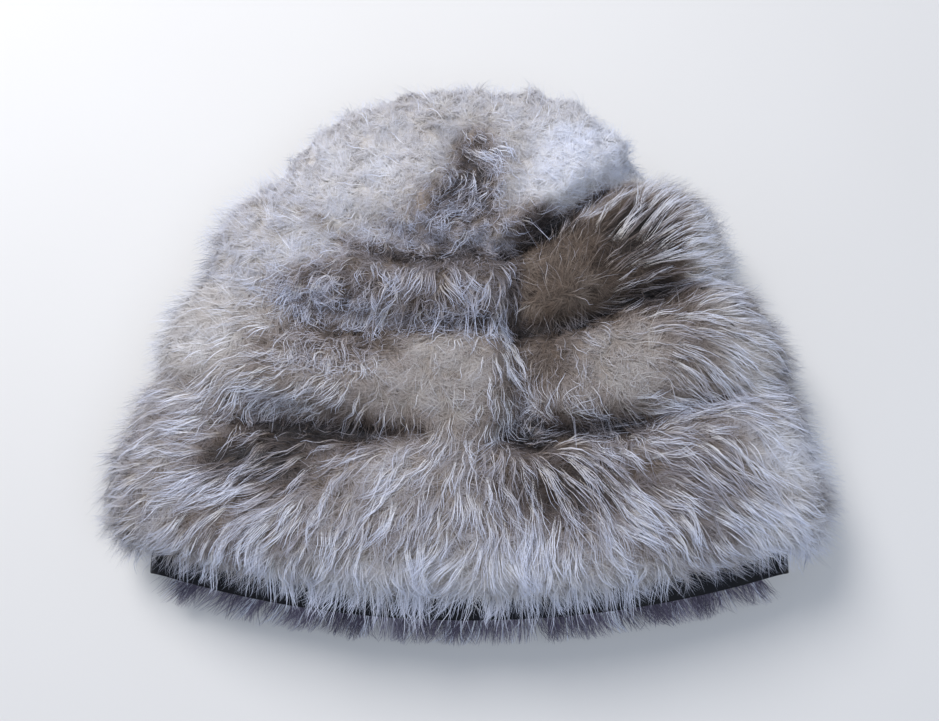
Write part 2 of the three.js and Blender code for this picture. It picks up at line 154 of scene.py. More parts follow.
# Patches of wool, painted one over the other: middle x and y, half width, half height,
# tone from 0 dark to 1 pale, share of pale streaks, length of the locks, strength of the curl.
WOOL_PATCHES = [
    ("crown wool", 5, 88, 92, 46, 0.67, 0.00, 0.38, 0.35),
    ("upper left wool", -92, 36, 36, 30, 0.62, 0.02, 0.42, 0.30),
    ("crown white on the left", -62, 82, 42, 42, 0.72, 0.00, 0.40, 0.35),
    ("crown cream on the right", 60, 85, 40, 38, 0.87, 0.00, 0.30, 0.15),
    ("crown small curls", -5, 48, 46, 14, 0.53, 0.10, 0.44, 1.00),
    ("parting's soft edge", 23, 90, 11, 15, 0.68, 0.08, 0.46, 0.60),
    ("below the parting", -6, 62, 17, 14, 0.37, 0.22, 0.60, 1.00),
    ("parting", 4, 80, 13, 26, 0.36, 0.34, 0.80, 1.00),
    ("crown top", 10, 118, 60, 16, 0.70, 0.02, 0.42, 0.30),
    ("upper left felt", -82, 50, 26, 18, 0.67, 0.00, 0.38, 0.35),
    ("upper left edge", -114, 54, 30, 40, 0.66, 0.03, 0.43, 0.15),
    ("upper left curls", -62, 18, 34, 13, 0.35, 0.20, 0.60, 0.90),
    ("upper middle", -36, 30, 22, 14, 0.40, 0.12, 0.60, 0.50),
    ("upper hanging strands", -5, 24, 24, 16, 0.31, 0.12, 0.85, 0.40),
    ("upper seam", -2, 5, 48, 9, 0.37, 0.22, 0.75, 0.80),
    ("upper right dark felt", 48, 26, 30, 26, 0.30, 0.03, 0.32, 0.30),
    ("upper right tan strip", 72, 34, 5, 15, 0.44, 0.04, 0.36, 0.40),
    # Painted shade: the gap under the crown, a crease, gets a dark tone.
    ("shade in the gap under the crown", 40, 52, 20, 9, 0.22, 0.18, 0.70, 0.30),
    ("upper right streaks", 82, 48, 24, 26, 0.17, 0.36, 1.10, 0.15),
    ("upper right low", 92, 18, 26, 12, 0.27, 0.20, 0.75, 0.25),
    ("upper right edge", 120, 40, 17, 34, 0.68, 0.10, 0.90, 0.10),
    ("middle left edge", -133, 0, 33, 27, 0.68, 0.04, 0.44, 0.15),
    ("middle left low edge", -142, -28, 20, 14, 0.55, 0.10, 0.70, 0.25),
    ("middle fawn", -15, -20, 42, 24, 0.58, 0.04, 0.33, 0.40),
    ("middle left curls", -62, -10, 30, 11, 0.40, 0.10, 0.50, 0.85),
    ("middle left streaks", -88, -34, 34, 13, 0.53, 0.26, 0.90, 0.65),
    # Painted shade: the left crease gets a dark tone.
    ("left crease shade", -58, -48, 28, 7, 0.18, 0.20, 0.60, 0.60),
    ("middle right dark", 34, -12, 16, 18, 0.33, 0.10, 0.45, 0.40),
    ("upright seam", 19, -25, 10, 28, 0.51, 0.26, 0.80, 0.60),
    ("middle right pale spot", 74, -18, 24, 18, 0.56, 0.00, 0.27, 0.25),
    ("middle right outer", 106, -18, 20, 20, 0.48, 0.20, 0.85, 0.20),
    ("middle right strands", 92, -36, 20, 6, 0.54, 0.35, 0.90, 0.30),
    ("middle right edge", 134, -14, 18, 24, 0.66, 0.10, 0.75, 0.20),
    # Painted shade: the right crease gets a dark tone.
    ("right crease shade", 66, -46, 22, 7, 0.25, 0.30, 0.60, 0.90),
    ("lower fawn", -25, -68, 34, 20, 0.53, 0.10, 0.70, 0.45),
    # Painted shade: the wool under the left crease gets a dark tone.
    ("lower left shade", -95, -62, 32, 15, 0.16, 0.28, 0.95, 0.45),
    ("lower left", -105, -88, 30, 16, 0.45, 0.20, 1.00, 0.25),
    ("lower left edge", -150, -72, 26, 40, 0.56, 0.08, 0.62, 0.25),
    ("lower brown", 45, -72, 36, 18, 0.25, 0.24, 1.05, 0.45),
    ("lower right", 108, -72, 28, 22, 0.38, 0.20, 1.00, 0.25),
    ("lower right low edge", 145, -92, 26, 16, 0.75, 0.10, 0.85, 0.25),
    ("lower right puff", 150, -56, 24, 20, 0.80, 0.03, 0.44, 0.15),
    ("tips over the hem", -8, -114, 110, 14, 0.70, 0.14, 1.10, 0.33),
    ("whorl", 30, -44, 11, 7, 0.20, 0.40, 0.80, 1.00),
]
PLAIN_WOOL = (0.5, 0.15, 0.7, 0.35)
UNDERSIDE_WOOL = (0.58, 0.12, 0.7, 0.35)

# How much of the groove between two tiers is left, across the hat: x and share, by seam.
GROOVES = {
    1: [(-170, 0.5), (-120, 0.6), (-85, 0.95), (-40, 0.8), (-20, 0.25), (15, 0.45), (30, 0.9), (60, 0.85),
        (90, 0.5), (170, 0.5)],
    2: [(-150, 0.6), (-100, 0.4), (-60, 0.6), (-30, 0.75), (0, 0.6), (20, 0.85), (70, 0.9), (95, 0.5),
        (150, 0.6)],
    3: [(-120, 0.5), (-80, 0.6), (-40, 0.85), (0, 0.75), (30, 0.9), (75, 1.0), (120, 0.7)],
}

# Creases in the fleece: the path, its half width and the share of the depth that goes, which also sets the
# painted shade in the crease.
CREASES = [
    ([(-96, -43), (-78, -44), (-59, -47), (-42, -49)], 6.0, 0.6),
    ([(-114, -41), (-96, -43)], 5.0, 0.3),
    ([(-42, -49), (-22, -47)], 5.0, 0.3),
    ([(16, -49), (26, -53), (36, -52)], 5.0, 0.7),
    ([(43, -48), (61, -45), (80, -43)], 5.0, 0.4),
    ([(80, -43), (108, -33), (129, -30)], 5.0, 0.2),
    ([(-80, 4), (-58, -2), (-39, -3), (-18, 0), (6, 2)], 5.0, 0.27),
    ([(21, -2), (39, 1), (58, 6)], 4.5, 0.65),
    ([(58, 6), (74, 14), (92, 21)], 4.5, 0.5),
    ([(92, 21), (112, 25)], 4.5, 0.25),
    ([(-79, 62), (-60, 45)], 5.0, 0.12),
    ([(-60, 45), (-40, 36), (-18, 35), (6, 38)], 5.0, 0.36),
    ([(15, 36), (33, 45), (43, 55), (56, 66), (68, 74)], 5.5, 0.7),
    ([(68, 74), (82, 79)], 5.0, 0.4),
    ([(25, 39), (22, 22), (21, 2), (24, -22), (26, -46)], 5.0, 0.15),
]

# Whorls, where the locks lie in a ring: x, y, radius.
WHORLS = [(32, -45, 12)]

# The layers of the fleece and how their strands grow, in metres: one column for each layer.
LAYERS = ("wisps", "curls", "crown_curls", "down", "crown_down", "fuzz", "crown_fuzz", "fringe", "edge")
STRAND_SETTINGS = {
    "Strands per Metre": (1.15e6, 2.4e6, 2.4e6, 2e6, 2.6e6, 1.9e6, 1.15e6, 2.7e6, 2.6e6),
    "Tufts per Metre": (43e3, 80e3, 60e3, 90e3, 90e3, 60e3, 20e3, 90e3, 90e3),
    "Tuft Radius": (0.0015, 0.0013, 0.0018, 1.0, 1.0, 1.0, 1.0, 1.0, 1.0),
    "Length": (0.022, 0.0105, 0.0065, 0.0062, 0.0055, 0.009, 0.0085, 0.025, 0.0062),
    "Length Spread": (0.3, 0.3, 0.3, 0.4, 0.4, 0.4, 0.4, 0.35, 0.4),
    "Width": (0.0004, 0.0004, 0.0003, 0.00022, 0.00027, 0.00015, 0.00015, 0.00034, 0.0003),
    "Wave": (0.003, 0.0032, 0.0018, 0.0012, 0.0012, 0.0012, 0.0012, 0.0022, 0.0012),
    "Waves": (1.15, 1.3, 1.6, 0.8, 0.8, 0.8, 0.8, 0.8, 0.8),
    "Bend": (0.75, 0.8, 0.8, 0.6, 0.6, 0.6, 0.6, 0.5, 0.6),
    "Turn": (0.45, 1.2, 1.2, 2.4, 3.0, 1.3, 1.6, 0.45, 2.4),
    "Wind Scale": (45.0, 200.0, 200.0, 130.0, 190.0, 130.0, 130.0, 130.0, 130.0),
    "Lift": (0.003, 0.0022, 0.0022, 0.0018, 0.0012, 0.007, 0.0048, 0.001, 0.002),
    "Sink": (0.0012, 0.0012, 0.0012, 0.0008, 0.0008, 0.0008, 0.0008, 0.0008, 0.0008),
    "Layers": (0.0, 0.0, 0.0, 0.0, 0.0, 0.0, 0.0, 0.007, 0.0),
    "Clump": (0.86, 0.7, 0.7, 0.5, 0.5, 0.3, 0.55, 0.35, 0.5),
    "Frizz": (0.001, 0.001, 0.001, 0.004, 0.004, 0.004, 0.004, 0.006, 0.004),
    "Lumps": (0.0, 0.0, 0.0, 0.0008, 0.001, 0.0008, 0.0008, 0.0, 0.0),
    "Roll": (0.9, 0.9, 0.9, 0.5, 0.3, 0.5, 0.5, 0.5, 0.5),
    "Borrowed Tone": (1.0, 1.0, 1.0, 1.0, 1.0, 1.0, 1.0, 0.0, 1.0),
    "Follow": (0.9, 0.9, 0.9, 0.9, 0.9, 0.4, 0.6, 0.9, 0.0),
    "Segments": (6, 6, 6, 1, 1, 2, 2, 3, 2),
    "Tone Shift": (0.07, 0.06, 0.0, 0.0, 0.0, 0.1, 0.1, 0.0, 0.0),
    "Tone Spread": (0.1, 0.1, 0.1, 0.05, 0.03, 0.08, 0.08, 0.04, 0.05),
    "Streaks": (1.0, 0.8, 0.4, 0.0, 0.0, 0.0, 0.0, 0.0, 0.0),
    "Palest": (0.79, 0.79, 0.79, 0.87, 0.87, 0.87, 0.87, 0.99, 0.87),
}


# The hat's surface

def ring_at(level):
    """One row per level: y, half width, sag, loft and drop, by a smooth curve through the rings."""
    last = len(RINGS) - 1
    row = np.clip(np.searchsorted(RINGS[:, 0], level) - 1, 0, last - 1)
    slopes = np.empty((last + 1, 5))
    slopes[0] = (RINGS[1, 1:] - RINGS[0, 1:]) / (RINGS[1, 0] - RINGS[0, 0])
    slopes[1:last] = (RINGS[2:, 1:] - RINGS[:-2, 1:]) / (RINGS[2:, 0] - RINGS[:-2, 0])[:, None]
    slopes[last] = POLE_SLOPES
    span = (RINGS[row + 1, 0] - RINGS[row, 0])[..., None]
    t = (level - RINGS[row, 0])[..., None] / span
    return (
        (2 * t**3 - 3 * t**2 + 1) * RINGS[row, 1:]
        + (t**3 - 2 * t**2 + t) * span * slopes[row]
        + (3 * t**2 - 2 * t**3) * RINGS[row + 1, 1:]
        + (t**3 - t**2) * span * slopes[row + 1]
    )


def core(level, angle):
    """The flattened sheet between the two walls. Angle 0 is the right fold, a quarter turn the top."""
    ring = ring_at(level)
    across = np.cos(angle)
    up = np.sin(angle)
    bow = np.where(up > 0, ring[..., 3], ring[..., 4])
    return np.stack([
        ring[..., 1] * across,
        HEM_Y + ring[..., 0] + ring[..., 2] * across**2,
        CORE_Z + up * bow,
    ], axis=-1)


def unit(vectors):
    return vectors / np.maximum(np.linalg.norm(vectors, axis=-1, keepdims=True), 1e-9)


def directions(level, angle):
    """The sheet's outward normal and its direction towards the crown."""
    at = np.minimum(level, POLE - 0.02)
    step = 1e-3
    along = unit(core(at + step, angle) - core(at - step, angle))
    around = core(at, angle + step) - core(at, angle - step)
    normal = unit(np.cross(along, around))
    normal = np.where((level > POLE - 1e-3)[..., None], np.array([0.0, 1.0, 0.0]), normal)
    return normal, along


def place(level, angle, height):
    """A point at a height above the leather's inner face. The fleece leans towards the mouth."""
    normal, along = directions(level, angle)
    fur = np.maximum(0, height - PELT)
    lean = LEAN * fur**2 * np.clip((POLE - level) * 2, 0, 1)
    return core(level, angle) + normal * (FOLD_RADIUS + height)[..., None] - along * lean[..., None]


def crease_at(x, y, spread=1.0):
    """How much of the fleece a crease takes away at a place seen from above."""
    deepest = np.zeros_like(x)
    for path, half_width, share in CREASES:
        for (x0, y0), (x1, y1) in zip(path, path[1:]):
            dx = x1 - x0
            dy = y1 - y0
            t = np.clip(((x - x0) * dx + (y - y0) * dy) / (dx * dx + dy * dy), 0, 1)
            away = np.hypot(x - x0 - t * dx, y - y0 - t * dy) / (half_width * spread)
            deepest = np.maximum(deepest, share * np.exp(-(away**2)))
    return deepest


def fleece_depth(level, angle):
    """A roll between seams, deeper on top than underneath, less at upright seams and dents."""
    normal, _ = directions(level, angle)
    up = normal[..., 2]
    full = np.where(up > 0, FUR_SIDE + (FUR_TOP - FUR_SIDE) * up, FUR_SIDE + (FUR_SIDE - FUR_UNDER) * up)
    share = level - np.floor(level)
    share = np.where(level >= LAST_SEAM, level - LAST_SEAM, share)
    share = np.where(level < 1, np.clip((level - FUR_STARTS) / (1 - FUR_STARTS), 0, 1), share)
    crown_rise = np.sin(np.clip(share * 2.2, 0, 1) * math.pi / 2)
    rise = np.where(level >= LAST_SEAM, crown_rise, np.sin(math.pi * share**0.85))
    at = core(level, angle)
    kept = [np.interp(at[..., 0], *zip(*GROOVES[seam])) for seam in (1, 2, 3)]
    seam = np.clip(np.round(level), 1, 3)
    left = np.choose(seam.astype(int) - 1, kept)
    left = np.where((level < 0.5) | (level > 3.5), 1.0, np.where(up > 0, left, 1.0))
    rise = 1 - (1 - np.maximum(0, rise)) * left * 0.92
    wobble = 1.1 * np.sin(5 * angle + 7 * level) + 0.9 * np.sin(11 * angle - 4 * level)
    depth = FUR_AT_SEAM + (full + wobble - FUR_AT_SEAM) * rise**0.6
    from_seam = (at[..., 0] - np.where(up > 0, SEAM_X, BACK_SEAM_X)) / SEAM_HALF_WIDTH
    seamed = (level > 1) & (level < LAST_SEAM)
    depth = depth * np.where(seamed, 1 - SEAM_DIP * np.exp(-(from_seam**2)), 1)
    for x, y, radius, share_gone in DENTS:
        away = np.hypot(at[..., 0] - x, at[..., 1] - y) / radius
        depth = depth * np.where(up > 0, 1 - share_gone * np.exp(-(away**2)), 1)
    crease = crease_at(at[..., 0] + SHIFT[0], at[..., 1] + SHIFT[1] - 2)
    depth = depth * np.where(up > 0.3, 1 - crease, 1)
    return np.where(level < FUR_STARTS - 1e-4, 0, depth)


def even_angles(count):
    """Steps round the hat, even in length along the fleece's middle, from the underside's middle."""
    fine = np.linspace(-math.pi / 2, 1.5 * math.pi, 2881)
    reach = place(np.full_like(fine, 1.5), fine, np.full_like(fine, PELT + FUR_SIDE * 0.6))
    lengths = np.concatenate([[0], np.cumsum(np.linalg.norm(np.diff(reach, axis=0), axis=1))])
    return np.interp(np.linspace(0, lengths[-1], count + 1), lengths, fine)


def grid(levels, angles):
    return np.meshgrid(np.asarray(levels, float), np.asarray(angles, float), indexing="ij")


def in_metres(points):
    moved = (points + SHIFT) * MM
    moved[..., 2] = np.maximum(moved[..., 2], 0.0)
    return moved


def combing_at(points, normals):
    """Combing and wool at the given points, from the tables. Underneath both fade into plain wool."""
    flat = points[..., :2] / MM
    gap = ((flat[..., None, :] - COMBING[:, :2]) ** 2).sum(axis=-1)
    weight = 1 / (gap + 30.0) ** 2
    weight = weight / weight.sum(axis=-1, keepdims=True)
    angle = np.radians(COMBING[:, 2])
    flow = unit(np.stack([weight @ np.cos(angle), weight @ np.sin(angle)], axis=-1))
    for x, y, radius in WHORLS:
        dx = flat[..., 0] - x
        dy = flat[..., 1] - y
        share = np.exp(-((dx**2 + dy**2) / radius**2) ** 2)[..., None]
        ring = unit(np.stack([-dy, dx], axis=-1) + 1e-6)
        flow = unit(flow * (1 - share) + ring * share * 1.5)
    wool = np.ones(flat.shape[:-1] + (1,)) * np.array(PLAIN_WOOL)
    for _, x, y, half_x, half_y, *kind in WOOL_PATCHES:
        away = ((flat[..., 0] - x) / half_x) ** 2 + ((flat[..., 1] - y) / half_y) ** 2
        share = np.exp(-(away**1.6) * 1.1)[..., None]
        wool = wool * (1 - share) + np.array(kind) * share
    below = np.clip(-normals[..., 2] * 2 + 0.1, 0, 1)
    plain = unit(np.stack([flat[..., 0] * 0.006, np.full_like(below, -1.0)], axis=-1))
    flow = unit(flow * (1 - below)[..., None] + plain * below[..., None])
    flow = np.concatenate([flow, np.full_like(flow[..., :1], -0.3)], axis=-1)
    wool = wool * (1 - below)[..., None] + np.array(UNDERSIDE_WOOL) * below[..., None]
    return (flow, *np.moveaxis(wool, -1, 0))


# Nodes

def join(tree, node, wires):
    """Joins a node's inputs to sockets, or sets them to plain values."""
    for name, value in wires.items():
        socket = node.inputs[name]
        if isinstance(value, bpy.types.NodeSocket):
            tree.links.new(value, socket)
        else:
            socket.default_value = value


def put(tree, kind, wires=None, **settings):
    """Places a node, sets it up and joins its inputs."""
    node = tree.nodes.new(kind)
    for name, value in settings.items():
        setattr(node, name, value)
    join(tree, node, wires or {})
    return node


def calc(tree, operation, *values, clamp=False):
    wires = dict(enumerate(values))
    return put(tree, "ShaderNodeMath", wires, operation=operation, use_clamp=clamp).outputs[0]


def turn(tree, operation, *values, scale=None):
    wires = dict(enumerate(values))
    if scale is not None:
        wires[3] = scale
    node = put(tree, "ShaderNodeVectorMath", wires, operation=operation)
    return node.outputs[1 if operation in ("DOT_PRODUCT", "LENGTH") else 0]


def stretch(tree, value, low, high, to_low, to_high):
    """A value carried from one range to another, held at the ends."""
    wires = {0: value, 1: low, 2: high, 3: to_low, 4: to_high}
    return put(tree, "ShaderNodeMapRange", wires).outputs[0]


def blend_floats(tree, share, a, b):
    return put(tree, "ShaderNodeMix", {0: share, 2: a, 3: b}, data_type="FLOAT").outputs[0]


def blend_vectors(tree, share, a, b):
    return put(tree, "ShaderNodeMix", {0: share, 4: a, 5: b}, data_type="VECTOR").outputs[1]


def blend_colours(tree, share, a, b, how="MIX"):
    wires = {0: share, 6: a, 7: b}
    return put(tree, "ShaderNodeMix", wires, data_type="RGBA", blend_type=how).outputs[2]


def clouds(tree, place_in, scale, detail, output=0):
    """Soft noise at a place. Output 0 is one value, and output 1 is three."""
    wires = {"Vector": place_in, "Scale": scale, "Detail": detail}
    return put(tree, "ShaderNodeTexNoise", wires).outputs[output]


def parts_of(tree, vector):
    return put(tree, "ShaderNodeSeparateXYZ", {0: vector}).outputs


def vector_of(tree, *parts):
    return put(tree, "ShaderNodeCombineXYZ", dict(enumerate(parts))).outputs[0]


def new_sockets(tree, inputs, result, result_kind="Geometry"):
    """Gives a tree its named inputs and its one output, and returns the inputs."""
    for name, kind, value in inputs:
        socket = tree.interface.new_socket(name, in_out="INPUT", socket_type="NodeSocket" + kind)
        if value is not None:
            socket.default_value = value
    tree.interface.new_socket(result, in_out="OUTPUT", socket_type="NodeSocket" + result_kind)
    return tree.nodes.new("NodeGroupInput").outputs


def set_inputs(modifier, values):
    """Sets a modifier's inputs by their sockets' identifiers."""
    for item in modifier.node_group.interface.items_tree:
        if item.item_type == "SOCKET" and item.in_out == "INPUT" and item.name in values:
            modifier[item.identifier] = values[item.name]


# The tree that grows the fleece

def strand_tree():
    """Grows strands on a patch. They gather in tufts, wave, and follow the ground under them."""
    tree = bpy.data.node_groups.new("fleece_strands", "GeometryNodeTree")
    settings = [
        (name, "Int" if name == "Segments" else "Float", row[0]) for name, row in STRAND_SETTINGS.items()
    ]
    given = new_sockets(tree, [
        ("Patch", "Geometry", None),
        ("Ground", "Object", None),
        *settings,
        ("Seed", "Int", 1),
        ("Material", "Material", None),
    ], "Fleece")
    node = partial(put, tree)
    times = partial(calc, tree, "MULTIPLY")
    times_plus = partial(calc, tree, "MULTIPLY_ADD")
    plus = partial(calc, tree, "ADD")
    minus = partial(calc, tree, "SUBTRACT")
    moved = partial(turn, tree, "ADD")
    gap = partial(turn, tree, "SUBTRACT")
    scaled = partial(turn, tree, "SCALE")
    direction = partial(turn, tree, "NORMALIZE")

    def kept(name, kind="FLOAT"):
        return node("GeometryNodeInputNamedAttribute", {"Name": name}, data_type=kind).outputs[0]

    def keep(geometry, name, value, kind="FLOAT", domain="POINT"):
        wires = {"Geometry": geometry, "Name": name, "Value": value}
        return node("GeometryNodeStoreNamedAttribute", wires, data_type=kind, domain=domain).outputs[0]

    # roots, and the tuft that each belongs to
    crowd = times(given["Strands per Metre"], kept("thick"))
    wires = {"Mesh": given["Patch"], "Density": crowd, "Seed": given["Seed"]}
    roots = node("GeometryNodeDistributePointsOnFaces", wires).outputs[0]
    other_seed = plus(given["Seed"], 1000.0)
    wires = {"Mesh": given["Patch"], "Density": given["Tufts per Metre"], "Seed": other_seed}
    tufts = node("GeometryNodeDistributePointsOnFaces", wires).outputs[0]
    nearest = node("GeometryNodeSampleNearest", {"Geometry": tufts}, domain="POINT").outputs[0]
    here = node("GeometryNodeInputPosition").outputs[0]
    wires = {"Geometry": tufts, "Value": here, "Index": nearest}
    tuft_place = node("GeometryNodeSampleIndex", wires, data_type="FLOAT_VECTOR").outputs[0]
    wires = {"ID": nearest, "Seed": given["Seed"]}
    tuft_luck = node("FunctionNodeRandomValue", wires, data_type="FLOAT_VECTOR").outputs[0]
    luck = node("FunctionNodeRandomValue", {"Seed": other_seed}, data_type="FLOAT_VECTOR").outputs[0]
    apart = turn(tree, "LENGTH", gap(here, tuft_place))
    wires = {"ID": nearest, "Seed": other_seed, 2: 0.5, 3: 1.5}
    fullness = node("FunctionNodeRandomValue", wires, data_type="FLOAT").outputs[1]
    stray = calc(tree, "GREATER_THAN", apart, times(given["Tuft Radius"], fullness))
    known = {"root": here, "tuft": tuft_place, "luck": luck, "tuft_luck": tuft_luck}
    for name, value in known.items():
        roots = keep(roots, name, value, "FLOAT_VECTOR")
    wires = {"Geometry": roots, "Selection": stray}
    roots = node("GeometryNodeDeleteGeometry", wires, domain="POINT").outputs[0]

    # one blade for every root
    rows = plus(given["Segments"], 1.0)
    wires = {"Size X": 1.0, "Size Y": 1.0, "Vertices X": 2, "Vertices Y": rows}
    blade = node("GeometryNodeMeshGrid", wires).outputs[0]
    axes = parts_of(tree, here)
    blade = keep(blade, "side", times(axes[0], 2.0))
    blade = keep(blade, "along", plus(axes[1], 0.5))
    placed = node("GeometryNodeInstanceOnPoints", {"Points": roots, "Instance": blade}).outputs[0]
    blades = node("GeometryNodeRealizeInstances", {0: placed}).outputs[0]

    # what every strand knows about itself
    root = kept("root", "FLOAT_VECTOR")
    tuft = kept("tuft", "FLOAT_VECTOR")
    own = parts_of(tree, kept("luck", "FLOAT_VECTOR"))
    shared = parts_of(tree, kept("tuft_luck", "FLOAT_VECTOR"))
    rise = direction(kept("rise", "FLOAT_VECTOR"))
    flow = kept("flow", "FLOAT_VECTOR")
    uphill = turn(tree, "DOT_PRODUCT", flow, rise)
    flow = direction(gap(flow, scaled(rise, scale=uphill)))
    wind = parts_of(tree, clouds(tree, root, given["Wind Scale"], 1.5, 1))
    swing = times_plus(wind[0], 5.0, -2.5)
    swing = plus(swing, times_plus(shared[0], 0.8, -0.4))
    swing = plus(swing, times_plus(own[0], 0.5, -0.25))
    swing = times(swing, given["Turn"])
    wires = {"Vector": flow, "Axis": rise, "Angle": swing}
    flow = node("ShaderNodeVectorRotate", wires).outputs[0]
    across = turn(tree, "CROSS_PRODUCT", rise, flow)
    spread = times_plus(own[1], 2.0, -1.0)
    longer = times_plus(spread, given["Length Spread"], 1.0)
    length = times(given["Length"], times(kept("reach"), longer))
    curl = kept("curl")
    wave = times(given["Wave"], curl)
    beat = times_plus(shared[2], 0.5, 0.75)
    beat = times(times(beat, given["Waves"]), 2 * math.pi)
    phase = times_plus(shared[1], 0.35, times(wind[1], 3.0))
    phase = times_plus(own[2], 0.12, phase)
    phase = times(phase, 2 * math.pi)
    lean = plus(times_plus(wind[2], 6.0, -3.0), times_plus(shared[2], 0.8, -0.4))
    sway = times(lean, given["Bend"])
    sway = times(times(sway, length), curl)
    wires = {"Object": given["Ground"]}
    ground = node("GeometryNodeObjectInfo", wires, transform_space="RELATIVE").outputs["Geometry"]
    high = times(given["Lift"], times_plus(own[2], 1.2, 0.4))
    lump = times(stretch(tree, clouds(tree, root, 210.0, 1.0), 0.35, 0.65, 0.0, 1.0), given["Lumps"])

    def on_ground(name, at, kind="FLOAT"):
        """What the ground carries at its place nearest to a point."""
        wires = {"Mesh": ground, "Value": kept(name, kind), "Sample Position": at}
        return node("GeometryNodeSampleNearestSurface", wires, data_type=kind).outputs[0]

    def centreline(t):
        """The strand's middle at a share of its length, and the ground's normal there."""
        gather = times(given["Clump"], calc(tree, "POWER", t, 0.8))
        start = blend_vectors(tree, gather, root, tuft)
        angle = times_plus(t, beat, phase)
        aside = times(calc(tree, "SINE", angle), times(wave, t))
        aside = times_plus(sway, times(t, t), aside)
        first = moved(start, scaled(flow, scale=times(length, t)))
        first = moved(first, scaled(across, scale=aside))
        close = node("GeometryNodeProximity", {0: ground, "Sample Position": first}).outputs[0]
        up = direction(on_ground("rise", first, "FLOAT_VECTOR"))
        height = minus(times(high, t), given["Sink"])
        height = times_plus(given["Sink"], stretch(tree, t, 0.0, 0.35, 0.0, 1.0), height)
        height = minus(height, times(own[1], given["Layers"]))
        height = plus(height, lump)
        bob = times(calc(tree, "COSINE", angle), times(wave, t))
        height = times_plus(bob, 0.6, height)
        free = moved(first, scaled(rise, scale=height))
        held = moved(close, scaled(up, scale=height))
        middle = blend_vectors(tree, given["Follow"], free, held)
        fuzz = gap(clouds(tree, middle, 190.0, 1.0, 1), (0.5, 0.5, 0.5))
        return moved(middle, scaled(fuzz, scale=times(given["Frizz"], t))), up

    along = kept("along")
    middle, up = centreline(along)
    # A strand's tone comes from its bed and, towards the tip, from the ground under it, so it carries the
    # painted shade of the creases and valleys.
    borrowed = times(stretch(tree, along, 0.0, 0.8, 0.2, 0.85), given["Borrowed Tone"])
    tone_here = blend_floats(tree, borrowed, kept("tone"), on_ground("tone", middle))
    ahead, _ = centreline(plus(along, 0.04))
    heading = direction(gap(ahead, middle))
    aside = direction(turn(tree, "CROSS_PRODUCT", up, heading))
    roll = times(times_plus(own[0], 2.0, -1.0), given["Roll"])
    aside = node("ShaderNodeVectorRotate", {"Vector": aside, "Axis": heading, "Angle": roll}).outputs[0]
    taper = minus(1.0, times(calc(tree, "POWER", along, 1.7), 0.9))
    width = times(given["Width"], times_plus(own[1], 0.8, 0.6))
    width = times(times(times(width, taper), 0.5), kept("side"))
    final = moved(middle, scaled(aside, scale=width))
    parts = parts_of(tree, final)
    final = vector_of(tree, parts[0], parts[1], calc(tree, "MAXIMUM", parts[2], LOWEST_HAIR))
    blades = keep(blades, "tone_here", tone_here)
    blades = keep(blades, "up", up, "FLOAT_VECTOR")
    shaped = node("GeometryNodeSetPosition", {"Geometry": blades, "Position": final}).outputs[0]

    # tone, kept with the place along the strand as a UV map
    pick = blend_floats(tree, 0.3, shared[0], own[0])
    pick = times(stretch(tree, pick, 0.35, 0.65, 0.1, 1.5), given["Streaks"])
    tone_here = kept("tone_here")
    tone = times_plus(kept("streak"), pick, tone_here)
    vary = plus(shared[1], times_plus(own[2], 0.5, -0.75))
    tone = times_plus(vary, given["Tone Spread"], tone)
    cloud = clouds(tree, root, 70.0, 2.0)
    tone = times_plus(minus(cloud, 0.5), 0.3, tone)
    tone = plus(tone, given["Tone Shift"])
    fleck = clouds(tree, root, 240.0, 1.0)
    tone = plus(tone, stretch(tree, fleck, 0.58, 0.68, 0.0, -0.14))
    tone = calc(tree, "MINIMUM", calc(tree, "MAXIMUM", tone, 0.01), given["Palest"])
    mark = vector_of(tree, tone, along, 0.0)
    marked = keep(shaped, "OFBake", mark, "FLOAT2", "CORNER")
    for name in ("root", "tuft", "luck", "tuft_luck", "flow", "rise", "reach", "curl", "thick",
                 "side", "along", "tone", "tone_here", "streak"):
        marked = node("GeometryNodeRemoveAttribute", {"Geometry": marked, "Name": name}).outputs[0]
    smooth = node("GeometryNodeSetShadeSmooth", {"Geometry": marked}).outputs[0]
    done = node("GeometryNodeSetMaterial", {"Geometry": smooth, "Material": given["Material"]}).outputs[0]
    node("NodeGroupOutput", {0: done})
    return tree


# Meshes

def new_object(name, mesh):
    piece = bpy.data.objects.new(name, mesh)
    bpy.context.collection.objects.link(piece)
    return piece


def new_mesh(name, points, faces, edges=()):
    mesh = bpy.data.meshes.new(name)
    mesh.from_pydata(np.reshape(points, (-1, 3)).tolist(), edges, faces)
    return mesh


def carry(mesh, **fields):
    """Stores a value or a vector for every vertex under each name."""
    for name, values in fields.items():
        flat = np.asarray(values, np.float32).ravel()
        is_vector = flat.size == 3 * len(mesh.vertices)
        layer = mesh.attributes.new(name, "FLOAT_VECTOR" if is_vector else "FLOAT", "POINT")
        layer.data.foreach_set("vector" if is_vector else "value", flat)


def ground_heights(levels, angles):
    """The smooth ground that the locks lie on. It passes over the binding and on past the mouth."""
    level, angle = grid(levels, angles)
    normal, _ = directions(level, angle)
    depth = fleece_depth(np.maximum(level, FUR_STARTS), angle)
    over_binding = 12 - np.where(normal[..., 2] > 0, 7.5, 3.5) * np.abs(normal[..., 2])
    depth = np.where(level < FUR_STARTS, over_binding, depth * MATTED_SHARE + 1.0)
    for _ in range(2):
        padded = np.pad(depth, ((1, 1), (0, 0)), mode="edge")
        depth = (padded[:-2] + 2 * padded[1:-1] + padded[2:]) / 4
        depth = (np.roll(depth, 1, axis=1) + 2 * depth + np.roll(depth, -1, axis=1)) / 4
    return level, angle, depth


